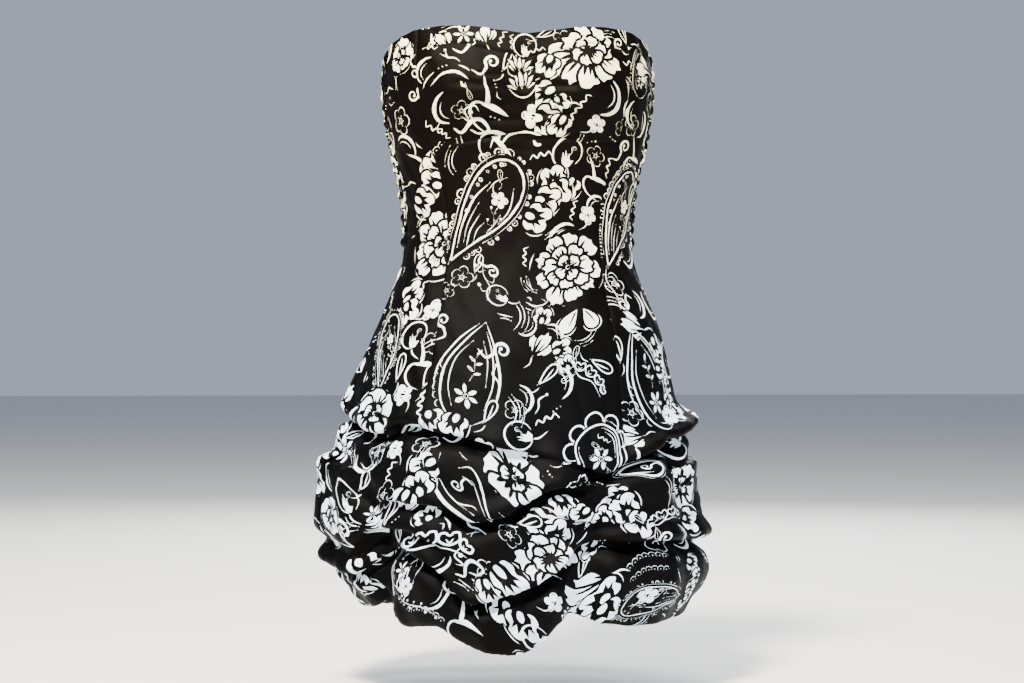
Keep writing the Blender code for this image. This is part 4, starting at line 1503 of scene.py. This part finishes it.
# Front panel
# The centre panel runs from the seam under the bust to the first fold of the skirt, close at the
# waist and flared below it.
FRONT = (under_bust_row, level(JOIN_ROW), princess(-1), princess(1), 0.0)
FRONT_PRINT = (
    (paisley, -83, -192, 0.9, 68),
    (lace, -82, -62, 0.8, 28),
    (tail, -32, -60, 0.85, -20),
    (crescents, -4, -56, 0.9, 12),
    (arcs, -60, -80, 0.8, 110),
    (ring_scroll, 45, -72, 0.85, 0),
    (outline_flower, 78, -74, 0.65, 0),
    (squiggle, 17, -78, 1.0, 10),
    (squiggle, 94, -86, 1.0, 80),
    (tail, 74, -98, 0.75, 10),
    (blossom, 48, -110, 0.9, 330),
    (blossom, 30, -98, 1.0, 190),
    (blossom, 35, -116, 1.1, 20),
    (blossom, 24, -123, 1.05, 70),
    (blossom, 13, -143, 1.1, 60),
    (sickle, 76, -122, 0.7, 300),
    (small_flower, 69, -138, 0.8, 40),
    (squiggle, 54, -134, 0.9, 80),
    (sickle, 36, -156, 0.9, 300),
    (peony, 46, -196, 0.68, 0),
    (squiggle, 1, -184, 0.9, 90),
    (arcs, 14, -206, 0.6, 150),
    (outline_flower, -68, -206, 0.75, 0),
    (outline_flower, -84, -220, 0.6, 30),
    (leaf, -52, -204, 0.7, 80),
    (tendril, -46, -190, 0.9, 190),
    (scroll, -36, -202, 0.8, 300),
    (ring_scroll, -30, -226, 0.6, 70),
    (arcs, -28, -246, 0.9, 290),
    (crescents, 12, -236, 0.5, 180),
    (buds, 58, -236, 0.8, 0),
    (blossom, 17, -250, 0.7, 160),
    (sickle, 2, -266, 0.6, 120),
    (sickle, 34, -266, 0.7, 200),
    (arcs, 56, -260, 0.7, 230),
    (arcs, 82, -262, 0.7, 300),
    (tulip, 4, -292, 0.75, 320),
    (blossom, 36, -286, 0.8, 100),
    (blossom, 40, -302, 0.7, 200),
    (berries, 66, -314, 0.85, -40),
    (leaf, 66, -298, 0.9, 340),
    (leaf, 12, -324, 0.9, 50),
    (sickle, 44, -322, 0.9, 180),
    (leaf_paisley, -44, -256, 0.96, 256),
    (scroll, -26, -286, 1.0, 0),
    (stem, -30, -330, 0.9, 20),
    (sickle, 2, -336, 0.8, 180),
    (dots, 30, -346, 1.0, 30),
    (outline_flower, -13, -348, 0.7, 0),
    (squiggle, 20, -362, 1.1, 20),
    (stem, 6, -352, 0.8, 340),
    (ring_scroll, -10, -376, 0.8, 90),
    (arcs, -36, -350, 0.9, 300),
    (blossom, -104, -360, 1.0, 20),
    (blossom, -80, -364, 1.0, 340),
    (leaf, -46, -366, 0.9, 70),
    (broad_paisley, 77, -394, 0.95, 100),
)
cut("front_panel", FRONT, printed(FRONT, FRONT_PRINT))

# Side panels
# One panel on each side, from the neckline to the first fold, between the princess seam that
# shapes the bust and the side seam.
SIDE_RIGHT = (top_row, level(JOIN_ROW), fixed(-SIDE_ANGLE), princess(-1), -61.0)
SIDE_LEFT = (top_row, level(JOIN_ROW), princess(1), fixed(SIDE_ANGLE), 61.0)
SIDE_RIGHT_PRINT = (
    (pansy, -132, 36, 0.5, 0),
    (tulip, -146, 0, 1.1, 90),
    (scroll, -118, 16, 0.8, 270),
    (scroll, -120, -8, 0.8, 200),
    (outline_flower, -132, -34, 0.9, 0),
    (sickle, -124, -58, 0.9, 230),
    (tulip, -124, -104, 1.0, 90),
    (leaf, -138, -70, 0.8, 100),
    (tail, -108, -82, 0.8, 60),
    (blossom, -92, -84, 1.1, 200),
    (blossom, -100, -104, 1.1, 250),
    (blossom, -108, -124, 1.1, 60),
    (stem, -128, -140, 1.2, 90),
    (leaf, -134, -150, 0.8, 80),
    (peony, -86, -170, 0.68, 30),
    (blossom, -120, -224, 1.1, 130),
    (blossom, -126, -246, 1.1, 30),
    (small_flower, -99, -242, 0.9, 0),
    (squiggle, -110, -222, 1.0, 80),
    (sickle, -144, -252, 0.8, 300),
    (ring_scroll, -119, -270, 0.8, 20),
    (outline_flower, -98, -276, 0.8, 0),
    (paisley, -158, -334, 0.6, 108),
    (tail, -114, -300, 0.9, 10),
    (leaf, -136, -320, 1.0, 100),
    (arcs, -92, -302, 0.9, 20),
    (small_flower, -132, -334, 0.9, 100),
    (pansy, -162, -354, 0.7, 0),
    (squiggle, -106, -344, 1.2, 100),
    (leaf, -96, -330, 0.9, 90),
)
SIDE_LEFT_PRINT = (
    (leaf_paisley, 128, 52, 0.5, 266),
    (leaf, 118, 50, 0.9, 200),
    (tulip, 142, 20, 0.8, 80),
    (arcs, 128, -6, 0.8, 0),
    (sickle, 116, -26, 0.8, 0),
    (outline_flower, 120, -40, 0.7, 160),
    (sickle, 134, -40, 0.8, 160),
    (scroll, 112, -62, 0.9, 30),
    (tail, 122, -74, 0.8, 10),
    (lace, 108, -96, 0.8, 60),
    (blossom, 130, -96, 0.8, 40),
    (paisley, 92, -196, 0.78, 80),
    (leaf, 120, -130, 0.9, 80),
    (chain, 134, -150, 0.7, 0),
    (tendril, 104, -240, 1.1, 0),
    (outline_flower, 98, -214, 0.8, 0),
    (scroll, 108, -236, 0.8, 200),
    (sickle, 131, -240, 0.9, 160),
    (tulip, 132, -262, 0.9, 80),
    (arcs, 104, -258, 0.9, 30),
    (leaf_paisley, 117, -260, 0.95, 284),
    (blossom, 146, -280, 1.0, 30),
    (leaf, 106, -300, 0.9, 100),
    (squiggle, 152, -310, 1.0, 80),
    (tulip, 130, -378, 0.7, 100),
    (chain, 160, -330, 0.8, 30),
    (outline_flower, 114, -352, 0.8, 60),
    (small_flower, 160, -358, 0.9, 0),
)
sides_cut = (
    ("side_panel_right", SIDE_RIGHT, SIDE_RIGHT_PRINT, 0.0427),
    ("side_panel_left", SIDE_LEFT, SIDE_LEFT_PRINT, 0.0459),
)
for name, shape, rows, area in sides_cut:
    cut(name, shape, printed(shape, rows), free_top=True)

# Shirred back panel
# The upper back is one panel drawn in by rows of elastic thread, so that it stretches over the
# back. Its neckline is turned in, and its sides are sewn to the side panels.
REPEAT_WIDE, REPEAT_TALL = 250, 300

# One repeat of the print: a motif, its place across and up, its size and its turn
REPEAT = (
    (peony, 0, 0, 0.84, 20),
    (chain, -62, -28, 1.0, 10),
    (paisley, 60, -60, 0.9, 60),
    (small_flower, 62, 46, 1.0, 20),
    (ring_scroll, 4, 78, 0.9, 30),
    (buds, 10, -50, 1.0, 0),
    (leaf_paisley, -40, 140, 0.95, 250),
    (pansy, 20, 126, 0.9, 0),
    (tail, -70, 56, 1.0, 10),
    (sickle, 46, 90, 0.9, 160),
    (crescents, 76, 130, 0.8, 10),
    (scroll, -96, 30, 1.0, 20),
    (sprig, -92, -100, 0.8, 20),
    (tendril, -20, -90, 1.0, 160),
    (blossom, 88, 84, 1.1, 60),
    (blossom, 70, 66, 1.0, 230),
    (squiggle, 38, 58, 1.0, 40),
    (lace, 96, -20, 0.9, 60),
    (arcs, -48, 60, 0.9, 200),
    (leaf, -60, 100, 1.0, 70),
    (star_flower, -100, 76, 0.9, 0),
    (ribbon, 30, -100, 0.9, 30),
    (branch, -78, 132, 0.8, 30),
    (squiggle, -30, -60, 1.0, 100),
)


def repeated(shape, start):
    """The print as it comes off the bolt, in a half-drop repeat over the whole piece."""
    edge = np.concatenate(outline_of(*shape))
    ink = []
    for column in range(-2, 3):
        for line in range(-1, 5):
            at = start + column * REPEAT_WIDE - 1j * (line * REPEAT_TALL + (column % 2) * REPEAT_TALL / 2)
            if (far_from(edge, np.array([at])) > REPEAT_TALL)[0] and not within(np.array([at]), edge)[0]:
                continue
            for motif, across, up, size, turn in REPEAT:
                ink += placed(motif(), at + across + 1j * up, size, turn + hand.uniform(-12, 12))
    return strewn(shape, ink, 0.6)


BACK_END = 360.0 - SIDE_ANGLE
SHIRRED = (top_row, level(float(row_at(SHIRRED_BOTTOM))), fixed(SIDE_ANGLE), fixed(BACK_END), 180.0)
SHIRR_PITCH, SHIRR_PUFF = 13, 2.8
SHIRRS = round((NECK["top"][-1] - SHIRRED_BOTTOM) / SHIRR_PITCH)
CRIMPS = table("wide bend depth", (7.3, 2.1, 0.42), (10.7, 3.7, 0.55), (17.9, 1.3, 0.45))


def shirrs(places, centre):
    """The puffs between the elastic rows, and the little upright gathers in them."""
    angle, row = to_dress(places, centre)
    top = top_row(angle)
    line = SHIRRS * (row - top) / (row_at(SHIRRED_BOTTOM) - top)
    puff = np.abs(np.sin(np.pi * line)) ** 0.75
    crimp = np.zeros(places.size)
    for wide, bend, depth in zip(*CRIMPS.values()):
        sway = bend * np.sin(2.3 * line) + wide * np.floor(line)
        crimp += depth * np.sin(2 * np.pi * places.real / wide + sway)
    return SHIRR_PUFF * puff + crimp * (0.3 + puff)


cut(
    "back_shirred_panel",
    SHIRRED,
    repeated(SHIRRED, 0),
    fineness=2.1,
    free_top=True,
    fullness=shirrs,
)


# Elastic rows
# Fine black thread with an elastic core, sewn through the upper back in rows of small stitches.
# It draws the panel in, so the cloth puffs out between the rows.
STITCH_WIDE, STITCH_LONG, STITCH_GAP = 0.45, 2.6, 0.5
STITCH_OUT = 0.12


def stitched(name, lines, thread, across, long, gap):
    """Rows of small stitches along lines of points on the dress, joined as one mesh."""
    shape = bmesh.new()
    for line in lines:
        length = np.concatenate(([0], np.cumsum(np.linalg.norm(np.diff(line, axis=0), axis=1))))
        starts = np.arange(0, length[-1] - long, long + gap)
        ends = []
        for more in (0, long):
            ends.append(np.stack([np.interp(starts + more, length, line[:, k]) for k in range(3)], 1))
        for first, last in zip(*ends):
            made = bmesh.ops.create_cone(
                shape,
                segments=5,
                radius1=across / 2000,
                radius2=across / 2000,
                depth=long / 1000,
                cap_ends=True,
            )
            turn = Vector(last - first).to_track_quat("Z", "Y").to_matrix()
            bmesh.ops.rotate(shape, verts=made["verts"], matrix=turn)
            bmesh.ops.translate(shape, verts=made["verts"], vec=Vector((first + last) / 2000))
    mesh = bpy.data.meshes.new(name)
    shape.to_mesh(mesh)
    shape.free()
    mesh.materials.append(thread)
    mesh.shade_smooth()
    row = bpy.data.objects.new(name, mesh)
    bpy.context.scene.collection.objects.link(row)
    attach(row, "root")


spun = Board("black_thread")
spun_place = spun.add("ShaderNodeTexCoord", output=3)
twist = spun.add("ShaderNodeTexWave", None, {"Vector": spun_place, "Scale": 900.0, "Distortion": 1.0}, 1)
spun_tone = 0.004 + 0.006 * twist
spun_colour = spun.add("ShaderNodeCombineColor", None, {0: spun_tone, 1: spun_tone, 2: spun_tone})
spun_shader = spun.add(
    "ShaderNodeBsdfPrincipled",
    None,
    {"Base Color": spun_colour, "Roughness": 0.6, "Specular IOR Level": 0.2},
)
spun.add("ShaderNodeOutputMaterial", None, {0: spun_shader})
elastic_angles = np.linspace(SIDE_ANGLE + 0.5, BACK_END - 0.5, 500)
elastic_rows = []
for line in range(1, SHIRRS):
    top = top_row(elastic_angles)
    row = top + (row_at(SHIRRED_BOTTOM) - top) * line / SHIRRS
    place = to_cloth(elastic_angles, row, 180.0)
    elastic_rows.append(on_dress(place, 180.0, FACE_OUT + STITCH_OUT + shirrs(place, 180.0)))
stitched(
    "elastic_stitches",
    elastic_rows,
    spun.material,
    STITCH_WIDE,
    STITCH_LONG,
    STITCH_GAP,
)

# Back panel
# The plain panel of the lower back, sewn to the shirred panel just below the waist and to the side
# panels, and flared to the first fold of the skirt.
BACK = (level(float(row_at(SHIRRED_BOTTOM))), level(JOIN_ROW), fixed(SIDE_ANGLE), fixed(BACK_END), 180.0)
cut("back_panel", BACK, repeated(BACK, 0))

# Skirt
# Two wide pieces, front and back, gathered into the panels above, drawn up along a few upright
# lines so that they fall in three uneven folds, and turned in at the hem.
SKIRT_F = (level(JOIN_ROW), level(LAST_ROW), fixed(-SIDE_ANGLE), fixed(SIDE_ANGLE), 0.0)
SKIRT_B = (level(JOIN_ROW), level(LAST_ROW), fixed(SIDE_ANGLE), fixed(BACK_END), 180.0)
SKIRT_PRINT = (
    (pansy, -16, -420, 0.8, 10),
    (curl_leaf, -72, -428, 0.72, 0),
    (blossom, -113, -408, 1.15, 300),
    (blossom, -118, -428, 1.1, 200),
    (blossom, -132, -448, 1.2, 330),
    (outline_flower, -108, -386, 0.8, 0),
    (arcs, -92, -402, 0.8, 100),
    (outline_flower, -160, -396, 0.8, 30),
    (small_flower, -140, -390, 0.8, 100),
    (outline_flower, -154, -440, 0.8, 60),
    (ring_scroll, -10, -378, 0.8, 90),
    (star_flower, -192, -396, 0.9, 0),
    (sickle, -176, -416, 1.0, 90),
    (leaf, -176, -440, 0.9, 70),
    (scroll, -196, -480, 1.1, 60),
    (tulip, -178, -476, 0.8, 250),
    (berries, -104, -487, 1.35, 0),
    (sprig, -206, -402, 0.7, 20),
    (leaf, -200, -384, 0.8, 60),
    (sickle, -212, -424, 0.8, 20),
    (ring_scroll, -194, -444, 0.75, 40),
    (tendril, -158, -404, 0.8, 20),
    (arcs, -172, -396, 0.8, 170),
    (squiggle, -146, -414, 0.9, 70),
    (star_flower, -165, -462, 0.6, 0),
    (pansy, -208, -466, 0.5, 0),
    (arcs, -160, -484, 0.8, 80),
    (blossom, -216, -492, 1.0, 0),
    (leaf, -178, -528, 0.9, 110),
    (squiggle, -190, -544, 0.9, 80),
    (leaf, -170, -552, 0.7, 60),
    (fan, -48, -532, 0.9, 0),
    (ring_scroll, -72, -530, 0.7, 60),
    (tendril, -30, -462, 0.8, 100),
    (arcs, -22, -446, 0.8, 220),
    (squiggle, 2, -462, 0.9, 40),
    (dashes, -4, -500, 1.0, 20),
    (leaf, 20, -524, 0.8, 200),
    (arcs, 52, -500, 0.9, 300),
    (tulip, 72, -500, 0.6, 60),
    (leaf, 56, -530, 0.8, 80),
    (scroll, 150, -486, 0.8, 20),
    (blossom, 66, -496, 0.8, 250),
    (leaf, 196, -430, 0.9, 80),
    (leaf, -150, -474, 1.0, 80),
    (leaf, 34, -408, 0.8, 20),
    (tulip, 112, -392, 0.8, 80),
    (shell, 100, -424, 0.66, 8),
    (blossom, 92, -440, 1.0, 240),
    (blossom, 103, -454, 1.15, 200),
    (blossom, 117, -470, 1.15, 330),
    (arcs, 134, -442, 0.9, 300),
    (pansy, 170, -434, 0.66, 30),
    (berries, 151, -466, 0.8, 20),
    (blossom, 180, -472, 1.1, 60),
    (blossom, 38, -448, 1.0, 20),
    (blossom, 54, -460, 0.9, 300),
    (blossom, 12, -470, 1.2, 70),
    (blossom, 32, -478, 1.0, 130),
    (leaf, 62, -478, 1.0, 60),
    (blossom, 78, -462, 0.8, 200),
    (outline_flower, -24, -480, 0.7, 0),
    (leaf, -10, -472, 0.9, 40),
    (stem, -46, -480, 1.0, 80),
    (dashes, -60, -466, 1.0, 20),
    (outline_flower, -44, -520, 0.8, 0),
    (blossom, -44, -538, 1.0, 20),
    (ribbon, -66, -512, 0.8, 30),
    (blossom, -22, -529, 1.35, 60),
    (fan_flower, 22, -506, 0.66, 20),
    (blossom, -28, -562, 1.2, 350),
    (blossom, -10, -576, 1.25, 10),
    (small_flower, 25, -552, 0.85, 10),
    (ring_scroll, 6, -590, 0.8, 100),
    (squiggle, 40, -566, 1.0, 60),
    (tail, -76, -572, 0.9, 0),
    (sickle, -100, -516, 0.9, 110),
    (sickle, -96, -552, 0.8, 120),
    (lace, -112, -566, 0.8, -30),
    (leaf_paisley, -136, -500, 0.7, 290),
    (leaf, -124, -514, 0.9, 240),
    (small_flower, -128, -538, 0.8, 40),
    (branch, -118, -556, 0.7, -16),
    (squiggle, -60, -544, 1.0, 90),
    (blossom, -172, -520, 1.1, 30),
    (blossom, -176, -540, 1.0, 200),
    (tulip, 84, -528, 1.1, 80),
    (blossom, 76, -546, 1.1, 200),
    (blossom, 82, -566, 1.1, 10),
    (paisley, 172, -552, 0.55, 188),
    (lace, 128, -510, 0.8, 4),
    (lace, 130, -524, 0.7, 4),
    (small_flower, 130, -548, 0.8, 0),
    (arcs, 110, -570, 0.8, 250),
    (sickle, 178, -500, 0.9, 100),
    (chain, 186, -540, 0.7, 10),
)
cut(
    "skirt_front",
    SKIRT_F,
    printed(SKIRT_F, SKIRT_PRINT, open_share=0.75),
    fineness=4.6,
    free_bottom=True,
)
cut(
    "skirt_back",
    SKIRT_B,
    repeated(SKIRT_B, 84 - 60j),
    fineness=4.9,
    free_bottom=True,
)

# The room
# A plain pale floor below the hem, soft light from above and in front, and the camera at the
# photograph's angle.
FLOOR_HEIGHT = -0.66
FLOOR_HALF = 14
room = bmesh.new()
bmesh.ops.create_grid(room, x_segments=2, y_segments=2, size=FLOOR_HALF)
bmesh.ops.translate(room, verts=room.verts, vec=(0, 0, FLOOR_HEIGHT))
floor_mesh = bpy.data.meshes.new("floor")
room.to_mesh(floor_mesh)
room.free()
paper = Board("floor_paper")
haze = paper.add("ShaderNodeTexNoise", None, {"Scale": 2.0, "Detail": 2.0})
tone = 0.6 + 0.02 * haze
paper_colour = paper.add("ShaderNodeCombineColor", None, {0: tone, 1: tone, 2: tone})
paper_shader = paper.add("ShaderNodeBsdfPrincipled", None, {"Base Color": paper_colour, "Roughness": 0.9})
paper.add("ShaderNodeOutputMaterial", None, {0: paper_shader})
floor_mesh.materials.append(paper.material)
floor = bpy.data.objects.new("floor", floor_mesh)
bpy.context.scene.collection.objects.link(floor)

world = bpy.data.worlds.new("soft_light")
bpy.context.scene.world = world
world.use_nodes = True
sky = world.node_tree.nodes["Background"]
sky.inputs["Color"].default_value = (0.68, 0.77, 0.95, 1)
sky.inputs["Strength"].default_value = 0.55

# Each lamp, its place and its width in metres, its power in watts and its colour
LAMPS = (
    ("key", (-0.8, -1.5, 1.9), 0.5, 480, (1.0, 0.93, 0.80)),
    ("fill", (1.5, -2.2, -0.1), 1.6, 72, (0.84, 0.92, 1.0)),
    ("top", (0.2, 0.3, 1.6), 1.2, 70, (1.0, 0.97, 0.92)),
    ("behind", (0.4, 2.2, 0.9), 1.6, 110, (1.0, 1.0, 1.0)),
)
AIM = Vector((0, 0, -0.28))
for name, at, size, power, colour in LAMPS:
    light = bpy.data.lights.new(name, "AREA")
    light.size, light.energy, light.color = size, power, colour
    lamp = bpy.data.objects.new(name, light)
    lamp.location = at
    lamp.rotation_euler = (AIM - Vector(at)).to_track_quat("-Z", "Y").to_euler()
    bpy.context.scene.collection.objects.link(lamp)

VIEW_TURN = 4.5
lens = bpy.data.cameras.new("camera")
lens.lens = 81.6
lens.sensor_width = 36
camera = bpy.data.objects.new("camera", lens)
camera.location = (-0.2107, -2.5915, -0.276)
camera.rotation_euler = np.radians((90, 0, -VIEW_TURN))
bpy.context.scene.collection.objects.link(camera)
bpy.context.scene.camera = camera
